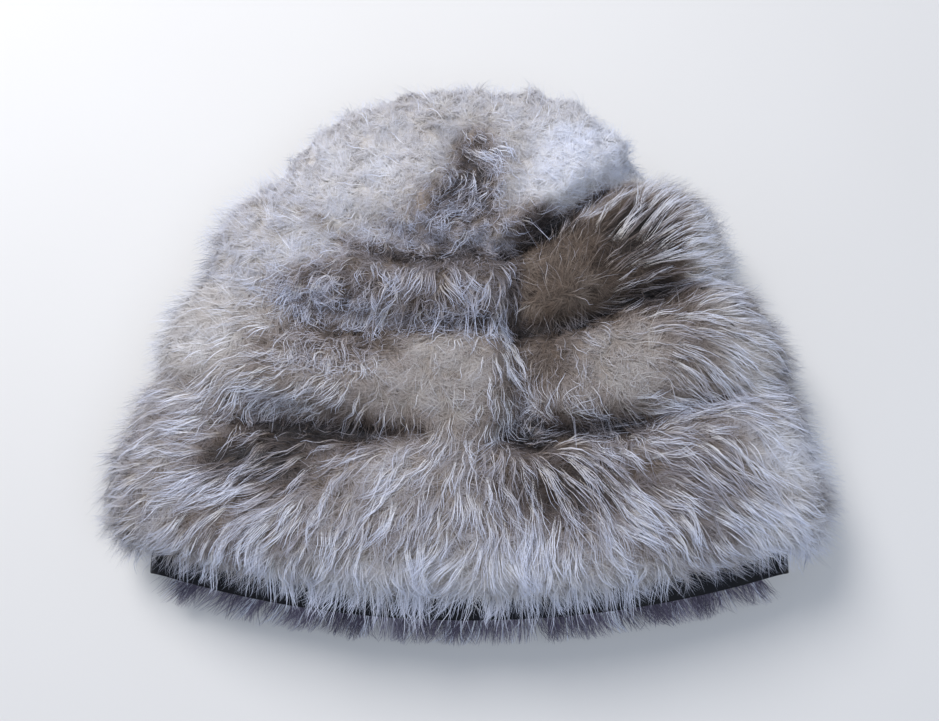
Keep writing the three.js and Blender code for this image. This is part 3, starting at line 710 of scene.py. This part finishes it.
def billows(points):
    """Two sizes of rounded lumps with sharp valleys between them, 0 in a valley."""
    flat = points.reshape(-1, 3)
    large = [abs(noise.noise(Vector(p) * 47.0)) for p in flat]
    small = [abs(noise.noise(Vector(p) * 105.0 + Vector((7, 3, 1)))) for p in flat]
    return np.reshape(large, points.shape[:-1]), np.reshape(small, points.shape[:-1])


def seen_from_above(points):
    """The places from above in millimetres, and how far each belongs to the upper side."""
    above = np.clip((points[..., 2] / MM - UPPER_SIDE) * 0.2, 0, 1)
    return points[..., 0] / MM, points[..., 1] / MM, above


def shade_at(points):
    """How much painted shade darkens the wool in the creases on the upper side."""
    x, y, above = seen_from_above(points)
    return above * (0.75 * crease_at(x, y, 0.5) + 0.2 * crease_at(x, y, 1.1))


def reach_to_crease(points, flow):
    """Locks end where a deep crease starts, so that it stays open."""
    x, y, above = seen_from_above(points)
    most = np.full_like(x, 9.0)
    for away in range(2, 20, 2):
        ahead = crease_at(x + flow[..., 0] * away, y + flow[..., 1] * away, 0.5) * above
        most = np.where(ahead > 0.25, np.minimum(most, (away + 3.0) / 22.0), most)
    return most


def ground_mesh():
    """The ground all round the hat, as a grid with its combing on it, and the painted shade of the valleys
    between its lumps.
    """
    levels = np.concatenate([
        np.linspace(-0.16, 1, 44)[:-1],
        np.linspace(1, 3, 46)[:-1],
        np.linspace(3, 3.985, 34),
    ])
    angles = even_angles(GROUND_COLUMNS)[:-1]
    level, angle, depth = ground_heights(levels, angles)
    points = in_metres(place(level, angle, PELT + depth))
    plain, _ = directions(level, angle)
    curl = combing_at(points, plain)[-1]
    crown_share = np.clip((level - 2.95) * 8, 0, 1)
    curl_share = np.clip((curl - 0.5) * 2.5, 0, 1)
    large, small = billows(points)
    depth = depth + (CROWN_LUMPS[0] + CROWN_LUMPS[1] * crown_share) * (large * 1.6 - 0.45)
    all_over, on_crown, in_curls = SMALL_LUMPS
    depth = depth + (all_over + on_crown * crown_share + in_curls * curl_share) * (small * 1.6 - 0.45)
    points = in_metres(place(level, angle, PELT + depth))
    points[..., 2] = np.maximum(points[..., 2], LOWEST_GROUND)
    # Painted shade: the valleys between the lumps, on the crown and more among the curls, get a darker tone.
    crown_valley_shade = np.clip(1 - large * 4, 0, 1) * crown_share * 0.06
    curl_valley_shade = np.clip(1 - small * 4, 0, 1) * curl_share * 0.26
    around = np.roll(points, -1, axis=1) - np.roll(points, 1, axis=1)
    upward = np.gradient(points, axis=0)
    normals = unit(np.cross(around, upward))
    facing = np.sign((normals * plain).sum(axis=-1, keepdims=True))
    normals = unit(normals * facing + plain * 0.4)
    return level, angle, points, normals, crown_valley_shade + curl_valley_shade


def patch_faces(rows, columns, wanted):
    """Quads of a closed grid, those whose corners are all wanted."""
    faces = []
    for j in range(rows - 1):
        for i in range(columns):
            k = (i + 1) % columns
            if wanted[j, i] and wanted[j + 1, i] and wanted[j, k] and wanted[j + 1, k]:
                faces.append((j * columns + i, j * columns + k, (j + 1) * columns + k, (j + 1) * columns + i))
    return faces


LEVEL, ANGLE, GROUND, RISE, VALLEY_SHADE = ground_mesh()
ROWS, COLUMNS = LEVEL.shape
FLOW, TONE, STREAK, REACH, CURL = combing_at(GROUND, RISE)
TONE = TONE - UNDER_STREAKS * STREAK
# The tone takes off the painted shade of the valleys and of the creases.
TONE = np.maximum(0.03, TONE - VALLEY_SHADE - shade_at(GROUND))
REACH = np.minimum(REACH, reach_to_crease(GROUND, FLOW))
FULL = np.ones_like(TONE)


def patch(name, wanted, reach=REACH, thick=FULL, tone=TONE):
    """A part of the ground with all that the strands need to know."""
    mesh = new_mesh(name, GROUND, patch_faces(ROWS, COLUMNS, wanted))
    carry(mesh, rise=RISE, flow=FLOW, tone=tone, streak=STREAK, reach=reach, curl=CURL, thick=thick)
    mesh.update()
    return new_object(name, mesh)


def soften(mesh, share):
    """Turns the shading normals of the blades towards the ground's, so that wool looks soft."""
    count = len(mesh.vertices)
    ups = np.empty(count * 3, np.float32)
    mesh.attributes["up"].data.foreach_get("vector", ups)
    mesh.attributes.remove(mesh.attributes["up"])
    own = np.empty(count * 3, np.float32)
    mesh.vertex_normals.foreach_get("vector", own)
    ups = unit(ups.reshape(-1, 3))
    own = own.reshape(-1, 3)
    if (ups * own).sum() < 0:
        mesh.flip_normals()
        own = -own
    mesh.normals_split_custom_set_from_vertices(unit(ups * share + own * (1 - share)).tolist())


def made_by(tree, holder, name, values):
    """Runs a tree on an object, which it removes, and keeps the result as a plain mesh."""
    modifier = holder.modifiers.new("maker", "NODES")
    modifier.node_group = tree
    set_inputs(modifier, values)
    bpy.context.view_layer.update()
    graph = bpy.context.evaluated_depsgraph_get()
    mesh = bpy.data.meshes.new_from_object(holder.evaluated_get(graph))
    mesh.name = name
    holder.modifiers.remove(modifier)
    bpy.data.objects.remove(holder)
    return mesh


def smooth_outside(mesh, merge=False):
    """Points all faces outwards and shades them smooth."""
    made = bmesh.new()
    made.from_mesh(mesh)
    if merge:
        bmesh.ops.remove_doubles(made, verts=made.verts, dist=1e-6)
    bmesh.ops.recalc_face_normals(made, faces=made.faces)
    for face in made.faces:
        face.smooth = True
    made.to_mesh(mesh)
    made.free()


def shell(name, levels, angles, closed, capped, materials):
    """The pelt itself: leather inside, matted wool outside, closed at its ends and at the crown."""
    level, angle = grid(levels, angles)
    depth = fleece_depth(level, angle)
    outer = place(level, angle, PELT + depth * MATTED_SHARE - 0.6)
    normal, _ = directions(level, angle)
    lumps = np.array([
        noise.fractal(Vector(p) * 0.16, 0.9, 2.1, 3) for p in outer.reshape(-1, 3)
    ]).reshape(level.shape)
    edge = np.minimum(1, depth / 12)
    outer = outer + normal * (lumps * 1.1 * edge)[..., None]
    inner = place(level, angle, np.zeros_like(level))
    rows, columns = level.shape
    points = [in_metres(inner).reshape(-1, 3), in_metres(outer).reshape(-1, 3)]
    count = rows * columns
    faces = []
    leather = []

    def quad(a, b, c, d, is_leather):
        faces.append((a, b, c, d))
        leather.append(is_leather)

    def at(j, i, outside):
        return outside * count + j * columns + (i % columns)

    for i in range(columns if closed else columns - 1):
        for j in range(rows - 1):
            quad(at(j, i, 1), at(j, i + 1, 1), at(j + 1, i + 1, 1), at(j + 1, i, 1), 0)
            quad(at(j, i, 0), at(j + 1, i, 0), at(j + 1, i + 1, 0), at(j, i + 1, 0), 1)
        quad(at(0, i, 0), at(0, i + 1, 0), at(0, i + 1, 1), at(0, i, 1), 0)
        if not capped:
            quad(at(rows - 1, i, 0), at(rows - 1, i, 1), at(rows - 1, i + 1, 1), at(rows - 1, i + 1, 0), 0)
    if not closed:
        for i in (0, columns - 1):
            for j in range(rows - 1):
                quad(at(j, i, 0), at(j, i, 1), at(j + 1, i, 1), at(j + 1, i, 0), 0)
    if capped:
        top = np.array([POLE])
        quarter = np.array([math.pi / 2])
        tip_depth = fleece_depth(np.array([POLE - 1e-6]), quarter)
        inner_tip = in_metres(place(top, quarter, np.zeros(1)))
        outer_tip = in_metres(place(top, quarter, PELT + tip_depth * MATTED_SHARE - 0.6))
        points += [inner_tip, outer_tip]
        for i in range(columns):
            faces.append((at(rows - 1, i, 1), at(rows - 1, i + 1, 1), 2 * count + 1))
            leather.append(0)
            faces.append((at(rows - 1, i + 1, 0), at(rows - 1, i, 0), 2 * count))
            leather.append(1)
    everything = np.concatenate(points)
    mesh = new_mesh(name, everything, faces)
    for material in materials:
        mesh.materials.append(material)
    mesh.polygons.foreach_set("material_index", np.array(leather, np.int32))
    normals = np.zeros_like(everything)
    normals[:, 2] = np.sign(everything[:, 2] - CORE_Z * MM)
    _, tone, streak, _, _ = combing_at(everything, normals)
    # Painted shade in the creases darkens the matted wool's tone as well.
    carry(mesh, tone=np.maximum(0.02, tone - UNDER_STREAKS * streak - shade_at(everything)))
    smooth_outside(mesh, merge=True)
    return new_object(name, mesh)


# Materials

def srgb(red, green, blue):
    """A colour as a colour picker names it, 0 to 255."""
    values = [c / 255 for c in (red, green, blue)]
    return [c / 12.92 if c <= 0.04045 else ((c + 0.055) / 1.055) ** 2.4 for c in values] + [1.0]


def wool_palette():
    """The hat's colours, from near black at tone 0 to mauve grey at tone 1, with painted shade at the root;
    the mauve greys are the fringe's painted shade.
    """
    tree = bpy.data.node_groups.new("wool_palette", "ShaderNodeTree")
    inputs = [("Tone", "Float", 0.5), ("Along", "Float", 0.5), ("Cool", "Float", 0.3)]
    given = new_sockets(tree, inputs, "Color", "Color")
    ramp = put(tree, "ShaderNodeValToRGB", {0: given["Tone"]})
    # Tones above 0.87 go to dark mauve grey, which only the fringe's painted shade reaches.
    stops = [
        (0.0, (20, 15, 12)), (0.15, (55, 43, 35)), (0.3, (104, 88, 75)), (0.45, (152, 139, 128)),
        (0.6, (194, 186, 178)), (0.75, (229, 226, 224)), (0.87, (245, 246, 252)), (0.93, (126, 118, 138)),
        (1.0, (78, 73, 90)),
    ]
    bar = ramp.color_ramp
    while len(bar.elements) < len(stops):
        bar.elements.new(0.5)
    for element, (at, colour) in zip(bar.elements, stops):
        element.position = at
        element.color = srgb(*colour)
    # Painted shade: the colour darkens towards the root, where the strands shade each other, and more in dark
    # wool.
    depth = stretch(tree, given["Tone"], 0.2, 0.7, 0.5, 0.85)
    near_tip = stretch(tree, given["Along"], 0.0, 0.5, 0.0, 1.0)
    root_shade = blend_floats(tree, near_tip, depth, 1.0)
    shaded = blend_colours(tree, 1.0, ramp.outputs[0], root_shade, "MULTIPLY")
    tip = stretch(tree, given["Along"], 0.25, 0.85, 0.0, 1.0)
    tip = calc(tree, "MULTIPLY", tip, given["Cool"])
    tip = calc(tree, "MULTIPLY", tip, stretch(tree, given["Tone"], 0.88, 0.9, 1.0, 0.0))
    tip = calc(tree, "MULTIPLY", tip, stretch(tree, given["Tone"], 0.2, 0.55, 0.1, 1.0))
    final = blend_colours(tree, tip, shaded, srgb(197, 207, 234))
    put(tree, "NodeGroupOutput", {0: final})
    return tree


def bare_material(name):
    """A new material with its node tree and its shader."""
    material = bpy.data.materials.new(name)
    material.use_nodes = True
    tree = material.node_tree
    return material, tree, tree.nodes["Principled BSDF"]


def place_on_piece(tree):
    return put(tree, "ShaderNodeTexCoord").outputs["Object"]


def relief(tree, height, strength, distance):
    wires = {"Height": height, "Strength": strength, "Distance": distance}
    return put(tree, "ShaderNodeBump", wires).outputs[0]


def wool_colour(tree, tone, along, cool):
    wires = {"Tone": tone, "Along": along, "Cool": cool}
    return put(tree, "ShaderNodeGroup", wires, node_tree=PALETTE).outputs[0]


def fibre_material(name, cool, sheen):
    """Single hairs and locks. Their UV map holds the tone and the place along the hair."""
    material, tree, shader = bare_material(name)
    mark = put(tree, "ShaderNodeUVMap", uv_map="OFBake").outputs[0]
    parts = parts_of(tree, mark)
    join(tree, shader, {
        "Base Color": wool_colour(tree, parts[0], parts[1], cool),
        "Roughness": stretch(tree, parts[1], 0.0, 1.0, 0.75, 0.5),
        "Sheen Weight": sheen,
        "Sheen Roughness": 0.5,
        "Specular IOR Level": 0.35,
    })
    return material


def matted_material(name):
    """The matted wool that shows between the locks."""
    material, tree, shader = bare_material(name)
    place_in = place_on_piece(tree)
    tone = put(tree, "ShaderNodeAttribute", attribute_name="tone").outputs["Fac"]
    wires = {"Vector": place_in, "Scale": 420.0, "Detail": 4.0, "Roughness": 0.65, "Distortion": 0.6}
    tangle = put(tree, "ShaderNodeTexNoise", wires).outputs[0]
    cloud = clouds(tree, place_in, 60.0, 3.0)
    # Where the tangle's bump dips, the tone is darker and more of the palette's painted root shade shows.
    varied = calc(tree, "MULTIPLY_ADD", calc(tree, "SUBTRACT", tangle, 0.5), 0.25, tone)
    varied = calc(tree, "MULTIPLY_ADD", calc(tree, "SUBTRACT", cloud, 0.5), 0.3, varied)
    varied = calc(tree, "MULTIPLY", varied, 0.92, clamp=True)
    along = stretch(tree, tangle, 0.3, 0.7, 0.25, 0.5)
    join(tree, shader, {
        "Base Color": wool_colour(tree, varied, along, 0.0),
        "Roughness": stretch(tree, cloud, 0.3, 0.7, 0.8, 0.95),
        "Normal": relief(tree, tangle, 0.7, 0.0012),
        "Sheen Weight": 0.2,
    })
    return material


def suede_material(name):
    """The pelt's inner side: pale worn suede."""
    material, tree, shader = bare_material(name)
    place_in = place_on_piece(tree)
    nap = clouds(tree, place_in, 900.0, 3.0)
    wear = clouds(tree, place_in, 22.0, 4.0)
    share = stretch(tree, blend_floats(tree, 0.35, wear, nap), 0.35, 0.65, 0.0, 1.0)
    join(tree, shader, {
        "Base Color": blend_colours(tree, share, srgb(120, 98, 78), srgb(186, 166, 142)),
        "Roughness": stretch(tree, wear, 0.3, 0.7, 0.75, 0.95),
        "Normal": relief(tree, nap, 0.4, 0.0004),
    })
    return material


def binding_material(name):
    """Black leather tape with a soft shine, a fine grain and rubbed patches."""
    material, tree, shader = bare_material(name)
    place_in = place_on_piece(tree)
    wires = {"Vector": place_in, "Scale": 700.0, "Randomness": 1.0}
    grain = put(tree, "ShaderNodeTexVoronoi", wires, feature="F1").outputs[0]
    wear = clouds(tree, place_in, 45.0, 5.0)
    worn = stretch(tree, wear, 0.5, 0.72, 0.0, 1.0)
    join(tree, shader, {
        "Base Color": blend_colours(tree, worn, srgb(7, 8, 13), srgb(20, 21, 30)),
        "Roughness": stretch(tree, wear, 0.3, 0.7, 0.5, 0.68),
        "Normal": relief(tree, grain, 0.35, 0.0003),
        "Specular IOR Level": 0.2,
    })
    return material


def thread_material(name):
    """Dark waxed thread with its twist."""
    material, tree, shader = bare_material(name)
    wires = {"Vector": place_on_piece(tree), "Scale": 600.0, "Distortion": 2.0}
    twist = put(tree, "ShaderNodeTexWave", wires).outputs[1]
    join(tree, shader, {
        "Base Color": blend_colours(tree, twist, srgb(34, 33, 40), srgb(74, 72, 82)),
        "Roughness": stretch(tree, twist, 0.0, 1.0, 0.7, 0.5),
        "Normal": relief(tree, twist, 0.4, 0.0002),
    })
    return material


def floor_material(name):
    """The plain pale floor."""
    material, tree, shader = bare_material(name)
    cloud = clouds(tree, place_on_piece(tree), 3.0, 3.0)
    join(tree, shader, {
        "Base Color": blend_colours(tree, cloud, srgb(214, 211, 206), srgb(222, 220, 216)),
        "Roughness": 0.75,
    })
    return material


PALETTE = wool_palette()
STRANDS = strand_tree()
MATTED = matted_material("matted_wool")
SUEDE = suede_material("suede_inside")
FIBRES = {
    "crown_fleece": fibre_material("crown_locks", 0.8, 0.15),
    "pale_fleece": fibre_material("pale_locks", 0.8, 0.15),
    "dark_fleece": fibre_material("dark_locks", 0.45, 0.1),
    "middle_fleece": fibre_material("middle_locks", 0.55, 0.1),
    "lower_fleece": fibre_material("lower_locks", 0.62, 0.1),
}
DOWN_FIBRES = {
    "crown_fleece": fibre_material("crown_down", 0.36, 0.2),
    "pale_fleece": fibre_material("pale_down", 0.55, 0.2),
    "dark_fleece": fibre_material("dark_down", 0.0, 0.1),
    "middle_fleece": fibre_material("middle_down", 0.15, 0.15),
    "lower_fleece": fibre_material("lower_down", 0.4, 0.15),
}


# The pelts

half_at_seam = RINGS[4, 2]
seam_angle = math.acos(SEAM_X / half_at_seam)
back_seam = -math.acos(BACK_SEAM_X / half_at_seam)
seam_margin = PELT_MARGIN / half_at_seam
STATIONS = even_angles(STATION_COUNT)


def angles_between(start, end):
    both = np.concatenate([STATIONS, STATIONS + 2 * math.pi])
    inside = both[(both > start + 0.01) & (both < end - 0.01)]
    return np.concatenate([[start + seam_margin], np.unique(inside), [end - seam_margin]])


def tier_levels(base, steps):
    """Levels of a tier, close together where the fleece dips into its seams."""
    start = ring_at(np.array(float(base)))[0]
    end = ring_at(np.array(float(min(base + 1, 4))))[0]
    margin = PELT_MARGIN / (end - start)
    shares = (1 - np.cos(np.linspace(0, math.pi, steps))) / 2
    return base + margin + (1 - 2 * margin) * (0.5 * shares + 0.5 * np.linspace(0, 1, steps))


right_angles = angles_between(back_seam, seam_angle)
left_angles = angles_between(seam_angle, back_seam + 2 * math.pi)
lower_levels = np.concatenate([
    [GAP / LOWER_TIER, 0.07, FUR_STARTS - 0.002],
    FUR_STARTS + (1 - FUR_STARTS) * np.linspace(0, 1, 28) ** 1.1 * (1 - 0.05 / 60),
])
crown_levels = tier_levels(3, 22)
crown_levels = crown_levels[crown_levels < 3.96]
shells = {
    "lower_band": (lower_levels, STATIONS[:-1], True, False, "lower_fleece"),
    "middle_band_right": (tier_levels(1, 18), right_angles, False, False, "middle_fleece"),
    "middle_band_left": (tier_levels(1, 18), left_angles, False, False, "middle_fleece"),
    "upper_band_right": (tier_levels(2, 16), right_angles, False, False, "dark_fleece"),
    "upper_band_left": (tier_levels(2, 16), left_angles, False, False, "pale_fleece"),
    "crown_cap": (crown_levels, STATIONS[:-1], True, True, "crown_fleece"),
}
for node, (levels, angles, closed, capped, slot_name) in shells.items():
    pelt = shell(f"{node}_pelt", levels, angles, closed, capped, [MATTED, SUEDE])
    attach(pelt, "root")
    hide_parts(node)


# The fleece

GROUND_OBJECT = patch("strand_ground", np.ones(LEVEL.shape, bool))

turned = np.where(ANGLE < back_seam, ANGLE + 2 * math.pi, ANGLE)
on_right = (turned >= back_seam) & (turned <= seam_angle)
facing_up = RISE[..., 2]

# how far the locks may hang over the binding: it shows at both ends, and less in the middle
x_mm = GROUND[..., 0] / MM
end_share = np.clip((np.abs(x_mm + 4) - BINDING_SHOWS_FROM) / BINDING_SHOWS_OVER, 0, 1)
gusts = [noise.noise(Vector((x * 0.12, 4.0, 0.0))) for x in x_mm.ravel()]
limit = -0.06 + 0.15 * end_share + 0.1 * np.reshape(gusts, x_mm.shape)
angle_of_flow = np.maximum(0.35, np.abs(FLOW[..., 1]))
room = np.maximum(2.5, (LEVEL - limit) * LOWER_TIER / angle_of_flow)
hem_reach = np.where(facing_up > -0.2, np.minimum(REACH, room / LONGEST_LOCK), REACH)
thin_below = np.where(facing_up > -0.25, 1.0, 0.1)
thin_down = thin_below * np.where(facing_up > 0.5, np.clip((LEVEL - 0.12) * 8, 0.4, 1.0), 1.0)
wispy = np.clip((REACH - 0.42) * 2.2, 0.03, 1.0) * thin_below
curly = np.clip((CURL - 0.55) * 2.5, 0, 1.0) * np.where(facing_up > 0.1, 1.0, 0.0)
at_side = np.clip(1.2 - np.abs(facing_up - 0.12) * 1.9, 0.03, 1.0) * np.where(facing_up > -0.5, 1.0, 0.15)


def on_tier(low, high):
    """Where the ground belongs to the tier between two levels."""
    return (LEVEL >= low - SEAM_OVERLAP) & (LEVEL <= high + SEAM_OVERLAP)


tiers = {
    "lower": ((LEVEL >= FLEECE_FROM) & on_tier(0, 1), "lower_fleece"),
    "middle_right": (on_tier(1, 2) & on_right, "middle_fleece"),
    "middle_left": (on_tier(1, 2) & ~on_right, "middle_fleece"),
    "upper_right": (on_tier(2, 3) & on_right, "dark_fleece"),
    "upper_left": (on_tier(2, 3) & ~on_right, "pale_fleece"),
    "crown": (on_tier(3, 4), "crown_fleece"),
}


def add_fleece(name, bed, layer, slot_name, warm=False, softness=0.5):
    """Grows one layer of fleece on a bed and lets it ride on the hat."""
    column = LAYERS.index(layer)
    mesh = made_by(STRANDS, bed, name, {
        **{setting: row[column] for setting, row in STRAND_SETTINGS.items()},
        "Seed": sum(name.encode()),
        "Ground": GROUND_OBJECT,
        "Material": (DOWN_FIBRES if warm else FIBRES)[slot_name],
    })
    soften(mesh, softness)
    piece = new_object(name, mesh)
    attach(piece, "root")


def edge_bed():
    """The edge of the fleece round the mouth, just above the binding."""
    level, angle = grid([FUR_STARTS] * 4, even_angles(GROUND_COLUMNS)[:-1])
    share = np.linspace(0.1, 1.0, 4)[:, None]
    height = PELT + fleece_depth(level, angle) * MATTED_SHARE * share
    points = in_metres(place(level - 0.006, angle, height))
    normal, along = directions(level, angle)
    _, tone, streak, _, _ = combing_at(points, normal)
    mesh = new_mesh("edge", points, patch_faces(*level.shape, np.ones(level.shape, bool)))
    carry(mesh, rise=normal * 0.5 - along * 0.85, flow=normal * 0.8 - along * 0.5)
    plain = np.full_like(tone, 0.8)
    carry(mesh, tone=tone - UNDER_STREAKS * streak, streak=plain, reach=plain, curl=plain, thick=plain)
    mesh.update()
    return new_object("edge", mesh)


for tier, (wanted, slot_name) in tiers.items():
    reach = hem_reach if tier == "lower" else REACH
    finer = "crown_" if tier == "crown" else ""
    add_fleece(f"{tier}_wisps", patch("bed", wanted, reach, wispy), "wisps", slot_name)
    add_fleece(f"{tier}_down", patch("bed", wanted, FULL, thin_down), f"{finer}down", slot_name, True, 0.72)
    add_fleece(f"{tier}_fuzz", patch("bed", wanted, FULL, at_side), f"{finer}fuzz", slot_name, False, 0.7)
    add_fleece(f"{tier}_curls", patch("bed", wanted, FULL, curly), f"{finer}curls", slot_name, False, 0.6)
hem_below = (LEVEL >= 0.1) & (LEVEL <= 0.22) & (facing_up < -0.3) & (np.abs(x_mm) < FRINGE_HALF_WIDTH)
# Painted shade: the fringe under the hem, by the floor, gets the dark mauve tone.
mauve = np.full_like(TONE, FRINGE_SHADE_TONE)
add_fleece("lower_fringe", patch("bed", hem_below, FULL, FULL, mauve), "fringe", "lower_fleece")
add_fleece("lower_edge", edge_bed(), "edge", "lower_fleece", True, 0.5)
bpy.data.objects.remove(GROUND_OBJECT)


# The binding round the mouth

def rounded_section(corners, radius, steps):
    """A closed section with its corners rounded, as level and height in millimetres."""
    points = []
    for k, corner in enumerate(corners):
        before = np.array(corners[k - 1], float)
        after = np.array(corners[(k + 1) % len(corners)], float)
        here = np.array(corner, float)
        room_here = min(radius, np.linalg.norm(before - here) * 0.45, np.linalg.norm(after - here) * 0.45)
        start = here + (before - here) / np.linalg.norm(before - here) * room_here
        end = here + (after - here) / np.linalg.norm(after - here) * room_here
        for s in np.linspace(0, 1, steps):
            points.append((1 - s) ** 2 * start + 2 * s * (1 - s) * here + s**2 * end)
    return np.array(points)


def binding():
    """The leather tape, folded round the pelt's edge at the mouth."""
    low = -(GAP + BINDING_THICKNESS)
    corners = [
        (low, low), (BINDING_INSIDE, low), (BINDING_INSIDE, -GAP), (-GAP * 0.2, -GAP),
        (-GAP * 0.2, PELT + GAP), (BINDING_WIDTH - GAP * 2, PELT + GAP),
        (BINDING_WIDTH - GAP * 2, PELT + GAP + BINDING_THICKNESS), (low, PELT + GAP + BINDING_THICKNESS),
    ]
    section = rounded_section(corners, 0.9, 4)
    angles = even_angles(TAPE_COLUMNS)[:-1]
    angle, k = np.meshgrid(angles, np.arange(len(section)), indexing="ij")
    level = section[k, 0] / LOWER_TIER
    height = section[k, 1]
    pucker = 0.16 * np.sin(angle * 61) * np.clip(height, 0, 1) * np.clip(level * 12, 0, 1)
    points = in_metres(place(level, angle, height + pucker)).reshape(-1, 3)
    rows, columns = angle.shape
    faces = []
    for j in range(rows):
        for i in range(columns):
            a = j * columns + i
            b = j * columns + (i + 1) % columns
            c = ((j + 1) % rows) * columns + (i + 1) % columns
            d = ((j + 1) % rows) * columns + i
            faces.append((a, b, c, d))
    mesh = new_mesh("hem_tape", points, faces)
    mesh.materials.append(binding_material("black_tape"))
    smooth_outside(mesh)
    return new_object("hem_tape", mesh)


tape = binding()
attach(tape, "root")
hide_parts("hem_binding")


def stitch_tree():
    """Stitches set end to end along a path, each a short bead of thread."""
    tree = bpy.data.node_groups.new("hem_stitches", "GeometryNodeTree")
    given = new_sockets(tree, [
        ("Path", "Geometry", None),
        ("Pitch", "Float", 0.004),
        ("Stitch Length", "Float", 0.0028),
        ("Thread", "Float", 0.0003),
        ("Material", "Material", None),
    ], "Stitches")
    line = put(tree, "GeometryNodeMeshToCurve", {0: given["Path"]}).outputs[0]
    wires = {"Curve": line, "Length": given["Pitch"]}
    dots = put(tree, "GeometryNodeCurveToPoints", wires, mode="LENGTH")
    bead = put(tree, "GeometryNodeMeshUVSphere", {"Segments": 6, "Rings": 5, "Radius": 1.0}).outputs[0]
    half = calc(tree, "MULTIPLY", given["Stitch Length"], 0.5)
    size = vector_of(tree, given["Thread"], given["Thread"], half)
    spots = dots.outputs
    wires = {"Points": spots["Points"], "Instance": bead, "Rotation": spots["Rotation"], "Scale": size}
    set_out = put(tree, "GeometryNodeInstanceOnPoints", wires).outputs[0]
    real = put(tree, "GeometryNodeRealizeInstances", {0: set_out}).outputs[0]
    smooth = put(tree, "GeometryNodeSetShadeSmooth", {"Geometry": real}).outputs[0]
    wires = {"Geometry": smooth, "Material": given["Material"]}
    put(tree, "NodeGroupOutput", {0: put(tree, "GeometryNodeSetMaterial", wires).outputs[0]})
    return tree


def stitches(name, distance, height):
    """A row of stitches round the mouth, at a distance from its edge and a height on the leather."""
    angles = even_angles(STITCH_COLUMNS)[:-1]
    level = np.full_like(angles, distance / LOWER_TIER)
    points = in_metres(place(level, angles, np.full_like(angles, height)))
    edges = [(i, (i + 1) % len(points)) for i in range(len(points))]
    path = new_object(f"{name}_path", new_mesh(f"{name}_path", points, [], edges))
    piece = new_object(name, made_by(STITCHES, path, name, {"Material": THREAD}))
    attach(piece, "root")


STITCHES = stitch_tree()
THREAD = thread_material("waxed_thread")
stitches("hem_stitches_outside", 9.6, PELT + GAP + BINDING_THICKNESS + 0.1)
stitches("hem_stitches_inside", 9.0, -GAP - BINDING_THICKNESS - 0.1)


# Floor, light and camera

def make_floor():
    """A wide pale floor just under the hat."""
    mesh = new_mesh("floor", [(-4, -4, 0), (4, -4, 0), (4, 4, 0), (-4, 4, 0)], [(0, 1, 2, 3)])
    mesh.materials.append(floor_material("pale_floor"))
    floor = new_object("floor", mesh)
    floor.location.z = -0.0002


def area_light(name, place_at, aim, size, power, colour):
    lamp = bpy.data.lights.new(name, "AREA")
    lamp.shape = "DISK"
    lamp.size = size
    lamp.energy = power
    lamp.color = colour
    holder = bpy.data.objects.new(name, lamp)
    holder.location = place_at
    holder.rotation_mode = "QUATERNION"
    holder.rotation_quaternion = (Vector(aim) - Vector(place_at)).to_track_quat("-Z", "Y")
    bpy.context.collection.objects.link(holder)


make_floor()
area_light("window", (-0.55, 0.75, 1.05), (0, 0, 0.03), 0.7, 17.5, (0.99, 0.98, 1.0))
area_light("ceiling", (0.5, -0.5, 1.5), (0, 0, 0.03), 1.6, 9.0, (0.8, 0.88, 1.0))

world = bpy.data.worlds.new("studio")
world.use_nodes = True
world.node_tree.nodes["Background"].inputs[0].default_value = (0.72, 0.81, 1.0, 1.0)
world.node_tree.nodes["Background"].inputs[1].default_value = 0.42
bpy.context.scene.world = world
bpy.context.scene.view_settings.view_transform = "Standard"

CAMERA_TILT = 77
CAMERA_DISTANCE = 0.445
lens = bpy.data.cameras.new("camera")
lens.sensor_width = 36.0
lens.lens = 34.5
lens.clip_start = 0.01
camera = bpy.data.objects.new("camera", lens)
target = Vector((0.00069, -0.00786, 0.025))
tilt = math.radians(CAMERA_TILT)
camera.location = target + CAMERA_DISTANCE * Vector((0, -math.cos(tilt), math.sin(tilt)))
camera.rotation_mode = "QUATERNION"
camera.rotation_quaternion = (target - camera.location).to_track_quat("-Z", "Y")
bpy.context.collection.objects.link(camera)
bpy.context.scene.camera = camera
